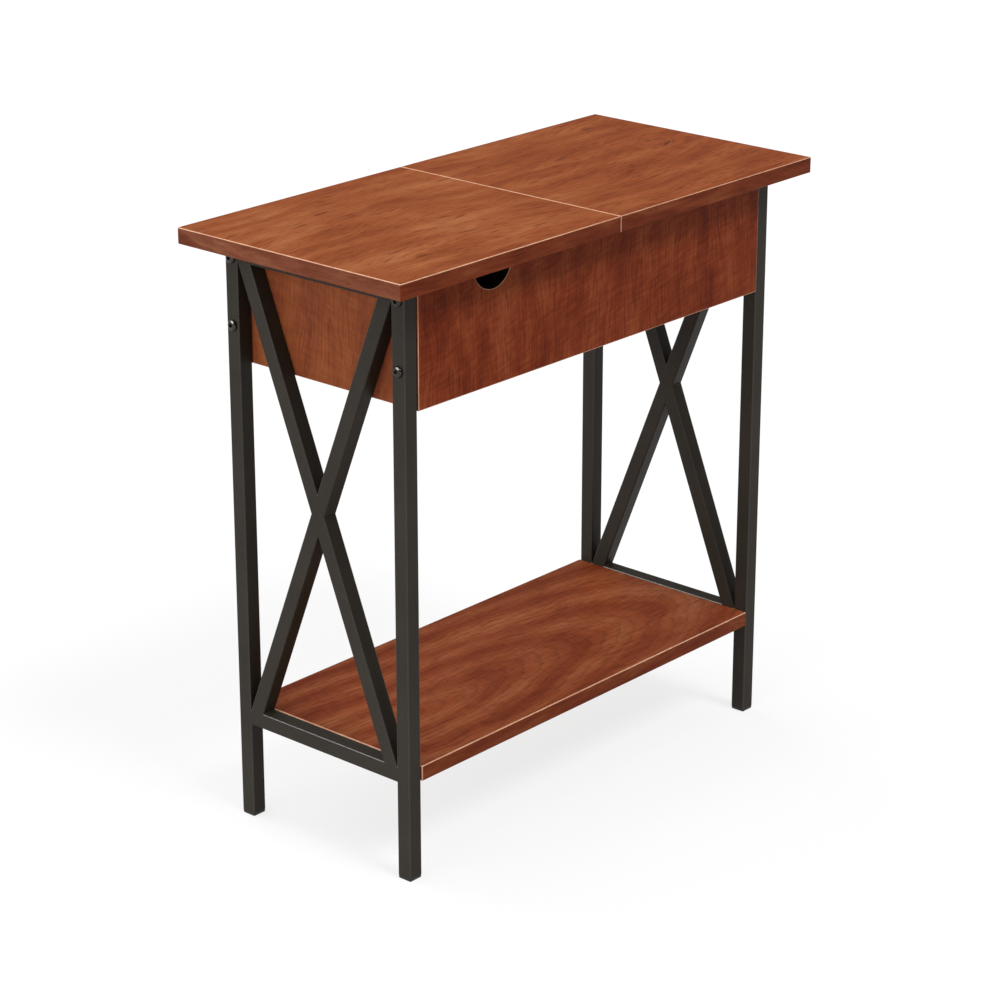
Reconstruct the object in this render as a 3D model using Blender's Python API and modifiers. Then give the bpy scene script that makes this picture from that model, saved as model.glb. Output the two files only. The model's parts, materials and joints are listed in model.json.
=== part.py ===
"""Flip-top end table: laminate top, storage box and shelf between two welded steel end frames.

Metres, +Z up. X runs along the length of the top, the front with the finger notch faces -Y, and
the origin is on the floor under the middle of the top. Each end frame is two square tube legs, two
rails and an X of braces. The storage box hangs between the frames, bolted through the legs into
barrel nuts in the ends of its front and back panels. The left half of the top is the lid, which
turns about two butt hinges behind the back panel.
"""

import math

import bmesh
import bpy
from mathutils import Matrix, Vector

# Top
TABLE_HEIGHT = 0.6096
TOP_LENGTH = 0.6096
TOP_DEPTH = 0.28575
TOP_THICKNESS = 0.016
SEAM_GAP = 0.001
BOARD_EDGE = 0.0008
END_OVERHANG = 0.0338
FRONT_OVERHANG = 0.0278

# End frames
TUBE_SIZE = 0.016
TUBE_WALL = 0.0012
TUBE_CORNER = 0.001
LOWER_RAIL_HEIGHT = 0.1015
GLIDE_FLANGE = 0.003
GLIDE_PLUG_LENGTH = 0.012
TAB_LENGTH = 0.025
TAB_WIDTH = 0.024
TAB_THICKNESS = 0.002
TAB_SPACING = 0.130

# Storage box and shelf
PANEL_HEIGHT = 0.120
PANEL_THICKNESS = 0.016
PANEL_PROUD = 0.001
RABBET_DEPTH = 0.003
BOX_FLOOR_THICKNESS = 0.009
BOX_FLOOR_RISE = 0.010
GROOVE_DEPTH = 0.005
NOTCH_RADIUS = 0.0265
SHELF_THICKNESS = 0.016

# Frame bolts and barrel nuts
BOLT_RADIUS = 0.003
BOLT_HEAD_RADIUS = 0.0054
BOLT_HEAD_HEIGHT = 0.0032
BOLT_SOCKET_RADIUS = 0.0022
BOLT_SOCKET_DEPTH = 0.0018
UPPER_BOLT_DROP = 0.0135
LOWER_BOLT_DROP = 0.0800
BARREL_RADIUS = 0.005
BARREL_LENGTH = 0.011
BARREL_INSET = 0.030
BOLT_TIP = 0.003

# Shelf screws
SCREW_RADIUS = 0.002
SCREW_HEAD_RADIUS = 0.004
SCREW_HEAD_HEIGHT = 0.0022
SCREW_LENGTH = 0.013

# Lid hinges
HINGE_LENGTH = 0.040
HINGE_SPACING = 0.160
HINGE_LEAF_THICKNESS = 0.0012
HINGE_KNUCKLE_RADIUS = 0.0028
HINGE_PIN_RADIUS = 0.0014
HINGE_BOX_LEAF = 0.018
HINGE_LID_LEAF = 0.0135
HINGE_LEAF_SETBACK = 0.0001

# Brackets under the fixed half of the top
BRACKET_LEG = 0.020
BRACKET_WIDTH = 0.016
BRACKET_THICKNESS = 0.0015
BRACKET_SPACING = 0.120

# Clearances
FIT_GAP = 0.0003
BOARD_END_GAP = 0.001
HOLE_CLEARANCE = 0.0003
PIN_CLEARANCE = 0.00006

ROUND_SIDES = 16
KNUCKLE_SIDES = 24
NOTCH_SIDES = 48
OVERCUT = 0.002

# Places worked out from the sizes above
HALF_LENGTH = TOP_LENGTH / 2.0
HALF_DEPTH = TOP_DEPTH / 2.0
TOP_UNDERSIDE = TABLE_HEIGHT - TOP_THICKNESS
FRAME_X = HALF_LENGTH - END_OVERHANG
FRAME_Y = HALF_DEPTH - FRONT_OVERHANG
FRAME_INNER_X = FRAME_X - TUBE_SIZE
FRAME_INNER_Y = FRAME_Y - TUBE_SIZE
LEG_X = FRAME_X - TUBE_SIZE / 2.0
LEG_Y = FRAME_Y - TUBE_SIZE / 2.0
FRAME_TOP = TOP_UNDERSIDE - FIT_GAP
UPPER_RAIL_UNDERSIDE = FRAME_TOP - TUBE_SIZE
LOWER_RAIL_TOP = LOWER_RAIL_HEIGHT + TUBE_SIZE

PANEL_END_X = FRAME_INNER_X - BOARD_END_GAP
PANEL_OUTER_Y = FRAME_Y + PANEL_PROUD
PANEL_INNER_Y = PANEL_OUTER_Y - PANEL_THICKNESS
PANEL_TOP = TOP_UNDERSIDE - FIT_GAP
PANEL_BOTTOM = PANEL_TOP - PANEL_HEIGHT
SIDE_INNER_X = PANEL_END_X - PANEL_THICKNESS
BOX_FLOOR_BOTTOM = PANEL_BOTTOM + BOX_FLOOR_RISE
BOX_FLOOR_TOP = BOX_FLOOR_BOTTOM + BOX_FLOOR_THICKNESS
LID_MIDDLE_X = -HALF_LENGTH / 2.0
BRACKET_MIDDLE_X = SIDE_INNER_X / 2.0
BARREL_X = PANEL_END_X - BARREL_INSET
BOLT_LENGTH = FRAME_X + FIT_GAP - BARREL_X + BARREL_RADIUS + BOLT_TIP

HINGE_REACH = HINGE_KNUCKLE_RADIUS - HINGE_LEAF_SETBACK
HINGE_Y = PANEL_OUTER_Y + FIT_GAP + HINGE_REACH
HINGE_Z = TOP_UNDERSIDE - FIT_GAP - HINGE_REACH
HINGE_NOTCH = HINGE_KNUCKLE_RADIUS + FIT_GAP
TAB_X = FRAME_INNER_X - TAB_LENGTH / 2.0

ENDS = (("left", -1.0), ("right", 1.0))
FACES = (("front", -1.0), ("back", 1.0))
LEVELS = (("upper", TOP_UNDERSIDE - UPPER_BOLT_DROP), ("lower", TOP_UNDERSIDE - LOWER_BOLT_DROP))

# Colour, roughness and metallic value of each finish
CHERRY_TOP = ((0.350, 0.115, 0.045), 0.42, 0.0)
CHERRY_PANEL = ((0.240, 0.060, 0.025), 0.45, 0.0)
POWDER_COAT = ((0.042, 0.037, 0.032), 0.48, 0.35)
BLACK_NICKEL = ((0.180, 0.170, 0.160), 0.30, 1.0)
ZINC_PLATE = ((0.560, 0.560, 0.550), 0.35, 1.0)
BLACK_PLASTIC = ((0.015, 0.015, 0.015), 0.55, 0.0)


def new_collection(name):
    """Make a collection in the scene."""
    collection = bpy.data.collections.new(name)
    bpy.context.scene.collection.children.link(collection)
    return collection


def clear_scene():
    """Remove every object of the starting scene."""
    for obj in list(bpy.data.objects):
        bpy.data.objects.remove(obj, do_unlink=True)


def new_material(name, finish):
    """Make a Principled material from a finish."""
    colour, roughness, metallic = finish
    material = bpy.data.materials.new(name)
    material.use_nodes = True
    shader = material.node_tree.nodes["Principled BSDF"]
    shader.inputs["Base Color"].default_value = (*colour, 1.0)
    shader.inputs["Roughness"].default_value = roughness
    shader.inputs["Metallic"].default_value = metallic
    material.diffuse_color = (*colour, 1.0)
    return material


def mesh_from(name, fill):
    """Make a mesh whose geometry the given function adds to a bmesh."""
    mesh = bpy.data.meshes.new(name)
    bm = bmesh.new()
    fill(bm)
    bm.to_mesh(mesh)
    bm.free()
    return mesh


def box_mesh(name, size):
    """Make a box about its own centre, with its scale applied."""
    scale = Matrix.Diagonal((*size, 1.0))
    return mesh_from(name, lambda bm: bmesh.ops.create_cube(bm, size=1.0, matrix=scale))


def rod_mesh(name, radius, length, sides=ROUND_SIDES):
    """Make a closed cylinder about its own centre, along Z."""

    def fill(bm):
        bmesh.ops.create_cone(
            bm, cap_ends=True, segments=sides, radius1=radius, radius2=radius, depth=length
        )

    mesh = mesh_from(name, fill)
    mesh.shade_smooth()
    mesh.set_sharp_from_angle(angle=math.radians(40.0))
    return mesh


def bar_mesh(name, length):
    """Make a solid square bar along Z with the rounded long corners of the tube."""

    def fill(bm):
        scale = Matrix.Diagonal((TUBE_SIZE, TUBE_SIZE, length, 1.0))
        bmesh.ops.create_cube(bm, size=1.0, matrix=scale)
        long_edges = [edge for edge in bm.edges if abs(edge.verts[0].co.z - edge.verts[1].co.z) > 0.0]
        bmesh.ops.bevel(
            bm, geom=long_edges, offset=TUBE_CORNER, segments=2, profile=0.5, affect="EDGES"
        )

    return mesh_from(name, fill)


def add_part(name, mesh, finish, parent=None):
    """Add a sub-part with its own material, at the world origin or at its parent."""
    obj = bpy.data.objects.new(name, mesh)
    PARTS.objects.link(obj)
    obj.parent = parent
    if not mesh.materials:
        mesh.materials.append(None)
    obj.material_slots[0].link = "OBJECT"
    obj.material_slots[0].material = new_material(name + "_finish", finish)
    return obj


def add_cutter(name, mesh):
    """Add a shape that only cuts, trims or joins other shapes."""
    obj = bpy.data.objects.new(name, mesh)
    CUTTERS.objects.link(obj)
    obj.hide_render = True
    obj.display_type = "WIRE"
    return obj


def place(obj, centre):
    """Put an object's origin at a point of the world."""
    offset = obj.parent.location if obj.parent else Vector()
    obj.location = Vector(centre) - offset
    return obj


def aim(obj, start, end):
    """Lay an object modelled along Z between two points of the world."""
    start = Vector(start)
    end = Vector(end)
    obj.rotation_mode = "QUATERNION"
    obj.rotation_quaternion = (end - start).to_track_quat("Z", "Y")
    return place(obj, (start + end) / 2.0)


def middle(low, high):
    """Give the centre of the box between two corners."""
    return (Vector(low) + Vector(high)) / 2.0


def extent(low, high):
    """Give the size of the box between two corners."""
    return Vector(high) - Vector(low)


def add_block(name, low, high, finish, parent=None):
    """Add a box between two corners."""
    part = add_part(name, box_mesh(name, extent(low, high)), finish, parent)
    return place(part, middle(low, high))


def add_board(name, low, high, finish, parent=None):
    """Add a laminate board between two corners, with its edges eased."""
    board = add_block(name, low, high, finish, parent)
    edge = board.modifiers.new("eased_edges", "BEVEL")
    edge.width = BOARD_EDGE
    edge.segments = 2
    return board


def cutting_block(name, low, high):
    """Add a box cutter between two corners."""
    return place(add_cutter(name, box_mesh(name, extent(low, high))), middle(low, high))


def cutting_rod(name, radius, start, end, sides=ROUND_SIDES):
    """Add a cylinder cutter between two points."""
    length = (Vector(end) - Vector(start)).length
    return aim(add_cutter(name, rod_mesh(name, radius, length, sides)), start, end)


def combine(obj, operation, tool):
    """Cut, trim or join an object with another shape."""
    boolean = obj.modifiers.new(tool.name, "BOOLEAN")
    boolean.operation = operation
    boolean.solver = "EXACT"
    boolean.object = tool
    return obj


def settle(template):
    """Turn a template with its modifiers into a plain mesh, and remove the template."""
    depsgraph = bpy.context.evaluated_depsgraph_get()
    mesh = bpy.data.meshes.new_from_object(template.evaluated_get(depsgraph))
    mesh.name = template.name
    bpy.data.objects.remove(template, do_unlink=True)
    return mesh


def mirrored(sign, low, high):
    """Give an interval, or its mirror image across zero, in rising order."""
    return tuple(sorted((sign * low, sign * high)))


def corner_pair(x_span, y_span, z_span):
    """Give the low and high corners of the box over three intervals."""
    return tuple(zip(x_span, y_span, z_span))


def add_tube(name, start, end):
    """Add a hollow square tube between two points, open at both ends."""
    length = (Vector(end) - Vector(start)).length
    bore = TUBE_SIZE - 2.0 * TUBE_WALL
    tube = aim(add_part(name, bar_mesh(name, length), POWDER_COAT), start, end)
    core = add_cutter(name + "_bore", box_mesh(name, (bore, bore, length + 2.0 * OVERCUT)))
    return combine(tube, "DIFFERENCE", aim(core, start, end))


def brace_lean():
    """Give the lean of a brace from the vertical, with its edges clear of the frame's corners."""
    half_width = FRAME_INNER_Y - FIT_GAP
    half_height = (UPPER_RAIL_UNDERSIDE - LOWER_RAIL_TOP) / 2.0 - FIT_GAP
    diagonal = math.hypot(half_width, half_height)
    return math.acos(TUBE_SIZE / 2.0 / diagonal) - math.atan2(half_height, half_width)


def make_braces(end, side):
    """Make the X of one end frame: a long brace, and two half braces that meet it."""
    x = side * LEG_X
    middle_z = (UPPER_RAIL_UNDERSIDE + LOWER_RAIL_TOP) / 2.0
    centre = Vector((x, 0.0, middle_z))
    reach = math.hypot(FRAME_INNER_Y, UPPER_RAIL_UNDERSIDE - middle_z) + TUBE_SIZE
    lean = brace_lean()
    rising_back = Vector((0.0, math.sin(lean), math.cos(lean))) * reach
    rising_front = Vector((0.0, -math.sin(lean), math.cos(lean))) * reach

    wide = TUBE_SIZE
    window = cutting_block(
        f"{end}_brace_window",
        (x - wide, -FRAME_Y, LOWER_RAIL_TOP + FIT_GAP),
        (x + wide, FRAME_Y, UPPER_RAIL_UNDERSIDE - FIT_GAP),
    )
    width = TUBE_SIZE + 2.0 * FIT_GAP
    envelope = add_cutter(
        f"{end}_brace_envelope", box_mesh("envelope", (2.0 * TUBE_SIZE, width, 2.0 * reach))
    )
    envelope.location = centre
    envelope.rotation_euler.x = -lean

    long_brace = add_tube(f"{end}_long_brace", centre - rising_back, centre + rising_back)
    combine(long_brace, "INTERSECT", window)
    for level, direction in (("upper", rising_front), ("lower", -rising_front)):
        half_brace = add_tube(f"{end}_{level}_half_brace", centre, centre + direction)
        combine(half_brace, "INTERSECT", window)
        combine(half_brace, "DIFFERENCE", envelope)


def make_legs(end, side):
    """Make the two legs of one end frame, drilled for the bolts of the storage box."""
    x = side * LEG_X
    leg_bottom = GLIDE_FLANGE + FIT_GAP
    hole_radius = BOLT_RADIUS + HOLE_CLEARANCE
    for face, facing in FACES:
        y = facing * LEG_Y
        leg = add_tube(f"{end}_{face}_leg", (x, y, leg_bottom), (x, y, FRAME_TOP))
        for level, z in LEVELS:
            hole = cutting_rod(
                f"{end}_{face}_leg_{level}_hole",
                hole_radius,
                (x - TUBE_SIZE, y, z),
                (x + TUBE_SIZE, y, z),
            )
            combine(leg, "DIFFERENCE", hole)


def make_rails(end, side):
    """Make the rails of one end frame, with the shelf tabs welded under the lower one."""
    x = side * LEG_X
    y = FRAME_INNER_Y - FIT_GAP
    upper_z = FRAME_TOP - TUBE_SIZE / 2.0
    lower_z = LOWER_RAIL_HEIGHT + TUBE_SIZE / 2.0
    add_tube(f"{end}_upper_rail", (x, -y, upper_z), (x, y, upper_z))
    rail = add_tube(f"{end}_lower_rail", (x, -y, lower_z), (x, y, lower_z))

    weld = TUBE_WALL / 2.0
    tab_top = LOWER_RAIL_HEIGHT - FIT_GAP
    for face, facing in FACES:
        y = facing * TAB_SPACING / 2.0
        y_span = (y - TAB_WIDTH / 2.0, y + TAB_WIDTH / 2.0)
        plate = cutting_block(
            f"{end}_{face}_tab",
            *corner_pair(
                mirrored(side, FRAME_INNER_X - TAB_LENGTH, LEG_X),
                y_span,
                (tab_top - TAB_THICKNESS, tab_top),
            ),
        )
        bead = cutting_block(
            f"{end}_{face}_tab_weld",
            *corner_pair(
                mirrored(side, FRAME_INNER_X + TUBE_CORNER, LEG_X - TUBE_CORNER),
                (y_span[0] + TUBE_CORNER, y_span[1] - TUBE_CORNER),
                (tab_top - TAB_THICKNESS / 2.0, LOWER_RAIL_HEIGHT + weld),
            ),
        )
        hole = cutting_rod(
            f"{end}_{face}_tab_hole",
            SCREW_RADIUS + HOLE_CLEARANCE,
            (side * TAB_X, y, tab_top - TAB_THICKNESS - OVERCUT),
            (side * TAB_X, y, tab_top + OVERCUT),
        )
        combine(rail, "UNION", bead)
        combine(rail, "UNION", plate)
        combine(rail, "DIFFERENCE", hole)


def make_glides():
    """Make the plastic foot plugs: a flange under each leg and a plug inside its tube."""
    bore = TUBE_SIZE - 2.0 * TUBE_WALL - 2.0 * FIT_GAP
    template = add_part("glide", box_mesh("glide", (TUBE_SIZE, TUBE_SIZE, GLIDE_FLANGE)), BLACK_PLASTIC)
    place(template, (0.0, 0.0, GLIDE_FLANGE / 2.0))
    edge = template.modifiers.new("rounded_edges", "BEVEL")
    edge.width = TUBE_CORNER / 2.0
    edge.segments = 2
    plug = cutting_block(
        "glide_plug",
        (-bore / 2.0, -bore / 2.0, GLIDE_FLANGE / 2.0),
        (bore / 2.0, bore / 2.0, GLIDE_FLANGE + GLIDE_PLUG_LENGTH),
    )
    mesh = settle(combine(template, "UNION", plug))
    for end, side in ENDS:
        for face, facing in FACES:
            glide = add_part(f"{end}_{face}_glide", mesh, BLACK_PLASTIC)
            place(glide, (side * LEG_X, facing * LEG_Y, GLIDE_FLANGE / 2.0))


def bolt_profile():
    """Give the half section of a frame bolt: domed head above the seat, shank below it."""
    shoulder = BOLT_HEAD_HEIGHT * 0.35
    crown = BOLT_HEAD_HEIGHT - shoulder
    flat = BOLT_SOCKET_RADIUS * 1.25
    steps = 4
    points = [(0.0, BOLT_HEAD_HEIGHT), (flat, BOLT_HEAD_HEIGHT)]
    for step in range(1, steps + 1):
        angle = math.radians(90.0 * step / steps)
        radius = flat + (BOLT_HEAD_RADIUS - flat) * math.sin(angle)
        points.append((radius, shoulder + crown * math.cos(angle)))
    points.append((BOLT_HEAD_RADIUS, 0.0))
    points.append((BOLT_RADIUS, 0.0))
    chamfer = BOLT_RADIUS / 4.0
    points.append((BOLT_RADIUS, chamfer - BOLT_LENGTH))
    points.append((BOLT_RADIUS - chamfer, -BOLT_LENGTH))
    points.append((0.0, -BOLT_LENGTH))
    return points


def turned_mesh(name, points, finish):
    """Turn a half section about Z into a closed template object."""

    def fill(bm):
        verts = [bm.verts.new((radius, 0.0, height)) for radius, height in points]
        for first, second in zip(verts, verts[1:]):
            bm.edges.new((first, second))

    template = add_part(name, mesh_from(name, fill), finish)
    screw = template.modifiers.new("turned", "SCREW")
    screw.axis = "Z"
    screw.angle = 2.0 * math.pi
    screw.steps = ROUND_SIDES
    screw.render_steps = ROUND_SIDES
    screw.use_merge_vertices = True
    screw.merge_threshold = 0.000001
    return template


def make_bolts():
    """Make the button head bolts through the legs, with their hexagon sockets."""
    template = turned_mesh("bolt", bolt_profile(), BLACK_NICKEL)
    socket = cutting_rod(
        "bolt_socket",
        BOLT_SOCKET_RADIUS,
        (0.0, 0.0, BOLT_HEAD_HEIGHT - BOLT_SOCKET_DEPTH),
        (0.0, 0.0, BOLT_HEAD_HEIGHT + OVERCUT),
        sides=6,
    )
    mesh = settle(combine(template, "DIFFERENCE", socket))
    for end, side in ENDS:
        for face, facing in FACES:
            for level, z in LEVELS:
                bolt = add_part(f"{end}_{face}_{level}_bolt", mesh, BLACK_NICKEL)
                place(bolt, (side * (FRAME_X + FIT_GAP), facing * LEG_Y, z))
                bolt.rotation_euler.y = side * math.pi / 2.0


def make_barrel_nuts():
    """Make the barrel nuts that the bolts screw into, seated in the front and back panels."""
    template = add_part("barrel", rod_mesh("barrel", BARREL_RADIUS, BARREL_LENGTH), ZINC_PLATE)
    thread = cutting_rod(
        "barrel_thread",
        BOLT_RADIUS + HOLE_CLEARANCE,
        (-BARREL_RADIUS - OVERCUT, 0.0, 0.0),
        (BARREL_RADIUS + OVERCUT, 0.0, 0.0),
    )
    mesh = settle(combine(template, "DIFFERENCE", thread))
    for end, side in ENDS:
        for face, facing in FACES:
            for level, z in LEVELS:
                nut = add_part(f"{end}_{face}_{level}_barrel_nut", mesh, ZINC_PLATE)
                place(nut, (side * BARREL_X, facing * LEG_Y, z))
                nut.rotation_euler.x = math.pi / 2.0


def drill_panel(panel, face, facing):
    """Drill a front or back panel for its bolts and barrel nuts."""
    y = facing * LEG_Y
    nut_end = BARREL_LENGTH / 2.0 + FIT_GAP
    for end, side in ENDS:
        for level, z in LEVELS:
            tip = FRAME_X + FIT_GAP - BOLT_LENGTH - FIT_GAP
            bolt_hole = cutting_rod(
                f"{end}_{face}_{level}_bolt_hole",
                BOLT_RADIUS + HOLE_CLEARANCE,
                (side * tip, y, z),
                (side * (PANEL_END_X + OVERCUT), y, z),
            )
            nut_hole = cutting_rod(
                f"{end}_{face}_{level}_nut_hole",
                BARREL_RADIUS + HOLE_CLEARANCE,
                (side * BARREL_X, facing * (LEG_Y + nut_end), z),
                (side * BARREL_X, facing * (PANEL_INNER_Y - OVERCUT), z),
            )
            combine(panel, "DIFFERENCE", bolt_hole)
            combine(panel, "DIFFERENCE", nut_hole)


def make_long_panel(face, facing):
    """Make the front or back panel, rabbeted for the side panels and grooved for the floor."""
    panel = add_board(
        f"{face}_panel",
        *corner_pair(
            (-PANEL_END_X, PANEL_END_X),
            mirrored(facing, PANEL_INNER_Y, PANEL_OUTER_Y),
            (PANEL_BOTTOM, PANEL_TOP),
        ),
        CHERRY_PANEL,
    )
    for end, side in ENDS:
        rabbet = cutting_block(
            f"{face}_{end}_rabbet",
            *corner_pair(
                mirrored(side, SIDE_INNER_X - FIT_GAP, PANEL_END_X + OVERCUT),
                mirrored(facing, PANEL_INNER_Y - OVERCUT, PANEL_INNER_Y + RABBET_DEPTH + FIT_GAP),
                (PANEL_BOTTOM - OVERCUT, PANEL_TOP + OVERCUT),
            ),
        )
        combine(panel, "DIFFERENCE", rabbet)
    groove = cutting_block(
        f"{face}_groove",
        *corner_pair(
            (-PANEL_END_X - OVERCUT, PANEL_END_X + OVERCUT),
            mirrored(facing, PANEL_INNER_Y - OVERCUT, PANEL_INNER_Y + GROOVE_DEPTH + FIT_GAP),
            (BOX_FLOOR_BOTTOM - FIT_GAP, BOX_FLOOR_TOP + FIT_GAP),
        ),
    )
    combine(panel, "DIFFERENCE", groove)
    drill_panel(panel, face, facing)
    return panel


def make_side_panel(end, side):
    """Make a side panel, let into the rabbets of the long panels and grooved for the floor."""
    y = PANEL_INNER_Y + RABBET_DEPTH
    panel = add_board(
        f"{end}_side_panel",
        *corner_pair(
            mirrored(side, SIDE_INNER_X, PANEL_END_X), (-y, y), (PANEL_BOTTOM, PANEL_TOP)
        ),
        CHERRY_PANEL,
    )
    groove = cutting_block(
        f"{end}_groove",
        *corner_pair(
            mirrored(side, SIDE_INNER_X - OVERCUT, SIDE_INNER_X + GROOVE_DEPTH + FIT_GAP),
            (-y - OVERCUT, y + OVERCUT),
            (BOX_FLOOR_BOTTOM - FIT_GAP, BOX_FLOOR_TOP + FIT_GAP),
        ),
    )
    combine(panel, "DIFFERENCE", groove)


def make_box():
    """Make the storage box: four panels and a floor held in their grooves."""
    front = make_long_panel("front", -1.0)
    make_long_panel("back", 1.0)
    notch = cutting_rod(
        "finger_notch",
        NOTCH_RADIUS,
        (LID_MIDDLE_X, -PANEL_OUTER_Y - OVERCUT, PANEL_TOP),
        (LID_MIDDLE_X, -PANEL_INNER_Y + OVERCUT, PANEL_TOP),
        sides=NOTCH_SIDES,
    )
    combine(front, "DIFFERENCE", notch)
    for end, side in ENDS:
        make_side_panel(end, side)
    x = SIDE_INNER_X + GROOVE_DEPTH
    y = PANEL_INNER_Y + GROOVE_DEPTH
    add_block("box_floor", (-x, -y, BOX_FLOOR_BOTTOM), (x, y, BOX_FLOOR_TOP), CHERRY_PANEL)


def make_shelf():
    """Make the lower shelf and the screws that hold it down on the tabs of the rails."""
    x = PANEL_END_X
    y = PANEL_OUTER_Y
    bottom = LOWER_RAIL_HEIGHT
    shelf = add_board("shelf", (-x, -y, bottom), (x, y, bottom + SHELF_THICKNESS), CHERRY_TOP)

    seat = LOWER_RAIL_HEIGHT - FIT_GAP - TAB_THICKNESS - FIT_GAP
    tip = seat + SCREW_LENGTH
    template = turned_mesh(
        "shelf_screw",
        [
            (0.0, tip),
            (SCREW_RADIUS / 2.0, tip),
            (SCREW_RADIUS, tip - SCREW_RADIUS),
            (SCREW_RADIUS, seat),
            (SCREW_HEAD_RADIUS, seat),
            (SCREW_HEAD_RADIUS, seat - SCREW_HEAD_HEIGHT / 2.0),
            (SCREW_HEAD_RADIUS * 0.7, seat - SCREW_HEAD_HEIGHT),
            (0.0, seat - SCREW_HEAD_HEIGHT),
        ],
        ZINC_PLATE,
    )
    mesh = settle(template)
    for end, side in ENDS:
        for face, facing in FACES:
            x = side * TAB_X
            y = facing * TAB_SPACING / 2.0
            place(add_part(f"{end}_{face}_shelf_screw", mesh, ZINC_PLATE), (x, y, 0.0))
            hole = cutting_rod(
                f"{end}_{face}_shelf_hole",
                SCREW_RADIUS + HOLE_CLEARANCE,
                (x, y, bottom - OVERCUT),
                (x, y, tip + FIT_GAP),
            )
            combine(shelf, "DIFFERENCE", hole)


def make_top(lid_axis):
    """Make the two halves of the top: the lid on its hinge axis, and the fixed half."""
    seam = SEAM_GAP / 2.0
    add_board(
        "lid_panel",
        (-HALF_LENGTH, -HALF_DEPTH, TOP_UNDERSIDE),
        (-seam, HALF_DEPTH, TABLE_HEIGHT),
        CHERRY_TOP,
        parent=lid_axis,
    )
    add_board(
        "fixed_top",
        (seam, -HALF_DEPTH, TOP_UNDERSIDE),
        (HALF_LENGTH, HALF_DEPTH, TABLE_HEIGHT),
        CHERRY_TOP,
    )


def make_brackets():
    """Make the angle brackets between the fixed half of the top and the long panels."""
    for face, facing in FACES:
        y = facing * (PANEL_INNER_Y - FIT_GAP)
        for end, side in ENDS:
            x = BRACKET_MIDDLE_X + side * BRACKET_SPACING / 2.0
            x_span = (x - BRACKET_WIDTH / 2.0, x + BRACKET_WIDTH / 2.0)
            top = TOP_UNDERSIDE - FIT_GAP
            name = f"top_bracket_{face}_{end}"
            reach = tuple(sorted((y, y - facing * BRACKET_LEG)))
            wall = tuple(sorted((y, y - facing * BRACKET_THICKNESS)))
            bracket = add_block(
                name, *corner_pair(x_span, reach, (top - BRACKET_THICKNESS, top)), ZINC_PLATE
            )
            upright = cutting_block(
                name + "_upright", *corner_pair(x_span, wall, (top - BRACKET_LEG, top))
            )
            combine(bracket, "UNION", upright)


def knuckle_spans():
    """Give the intervals along a hinge of the middle knuckle and of the two outer ones."""
    pitch = HINGE_LENGTH / 3.0
    half = HINGE_LENGTH / 2.0
    gap = FIT_GAP / 2.0
    inner = (-pitch / 2.0 + gap, pitch / 2.0 - gap)
    outer = ((-half, -pitch / 2.0 - gap), (pitch / 2.0 + gap, half))
    return inner, outer


def add_leaf(name, x, spans, plate, arm_at, parent=None):
    """Add one hinge leaf: a plate, its knuckles, the arms that join them, and the pin's bore."""
    leaf = add_block(name, *plate, ZINC_PLATE, parent)
    for index, (low, high) in enumerate(spans):
        arm = cutting_block(f"{name}_arm_{index}", *arm_at(x + low, x + high))
        knuckle = cutting_rod(
            f"{name}_knuckle_{index}",
            HINGE_KNUCKLE_RADIUS,
            (x + low, HINGE_Y, HINGE_Z),
            (x + high, HINGE_Y, HINGE_Z),
            sides=KNUCKLE_SIDES,
        )
        combine(leaf, "UNION", arm)
        combine(leaf, "UNION", knuckle)
    bore = cutting_rod(
        f"{name}_bore",
        HINGE_PIN_RADIUS + PIN_CLEARANCE,
        (x - HINGE_LENGTH, HINGE_Y, HINGE_Z),
        (x + HINGE_LENGTH, HINGE_Y, HINGE_Z),
        sides=KNUCKLE_SIDES,
    )
    return combine(leaf, "DIFFERENCE", bore)


def make_hinges(lid_axis):
    """Make the two butt hinges: a leaf under the lid, a leaf on the back panel, and a pin."""
    inner, outer = knuckle_spans()
    half = HINGE_LENGTH / 2.0
    wall_span = (HINGE_Y - HINGE_REACH, HINGE_Y - HINGE_REACH + HINGE_LEAF_THICKNESS)
    roof_span = (HINGE_Z + HINGE_REACH - HINGE_LEAF_THICKNESS, HINGE_Z + HINGE_REACH)

    def box_arm(low, high):
        return corner_pair((low, high), wall_span, (HINGE_Z - HINGE_NOTCH - OVERCUT, HINGE_Z))

    def lid_arm(low, high):
        return corner_pair((low, high), (HINGE_Y, HINGE_Y + HINGE_NOTCH + OVERCUT), roof_span)

    for end, side in ENDS:
        x = LID_MIDDLE_X + side * HINGE_SPACING / 2.0
        x_span = (x - half, x + half)
        box_plate = corner_pair(
            x_span, wall_span, (HINGE_Z - HINGE_BOX_LEAF, HINGE_Z - HINGE_NOTCH)
        )
        lid_plate = corner_pair(
            x_span, (HINGE_Y + HINGE_NOTCH, HINGE_Y + HINGE_LID_LEAF), roof_span
        )
        add_leaf(f"{end}_hinge_box_leaf", x, outer, box_plate, box_arm)
        add_leaf(f"{end}_hinge_lid_leaf", x, (inner,), lid_plate, lid_arm, lid_axis)
        pin = add_part(
            f"{end}_hinge_pin",
            rod_mesh("hinge_pin", HINGE_PIN_RADIUS, HINGE_LENGTH, KNUCKLE_SIDES),
            ZINC_PLATE,
        )
        aim(pin, (x - half, HINGE_Y, HINGE_Z), (x + half, HINGE_Y, HINGE_Z))


def make_lid_axis():
    """Make the empty that carries the lid, on the line of the hinge pins."""
    axis = bpy.data.objects.new("lid_hinge_axis", None)
    PARTS.objects.link(axis)
    axis.location = (LID_MIDDLE_X, HINGE_Y, HINGE_Z)
    return axis


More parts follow.
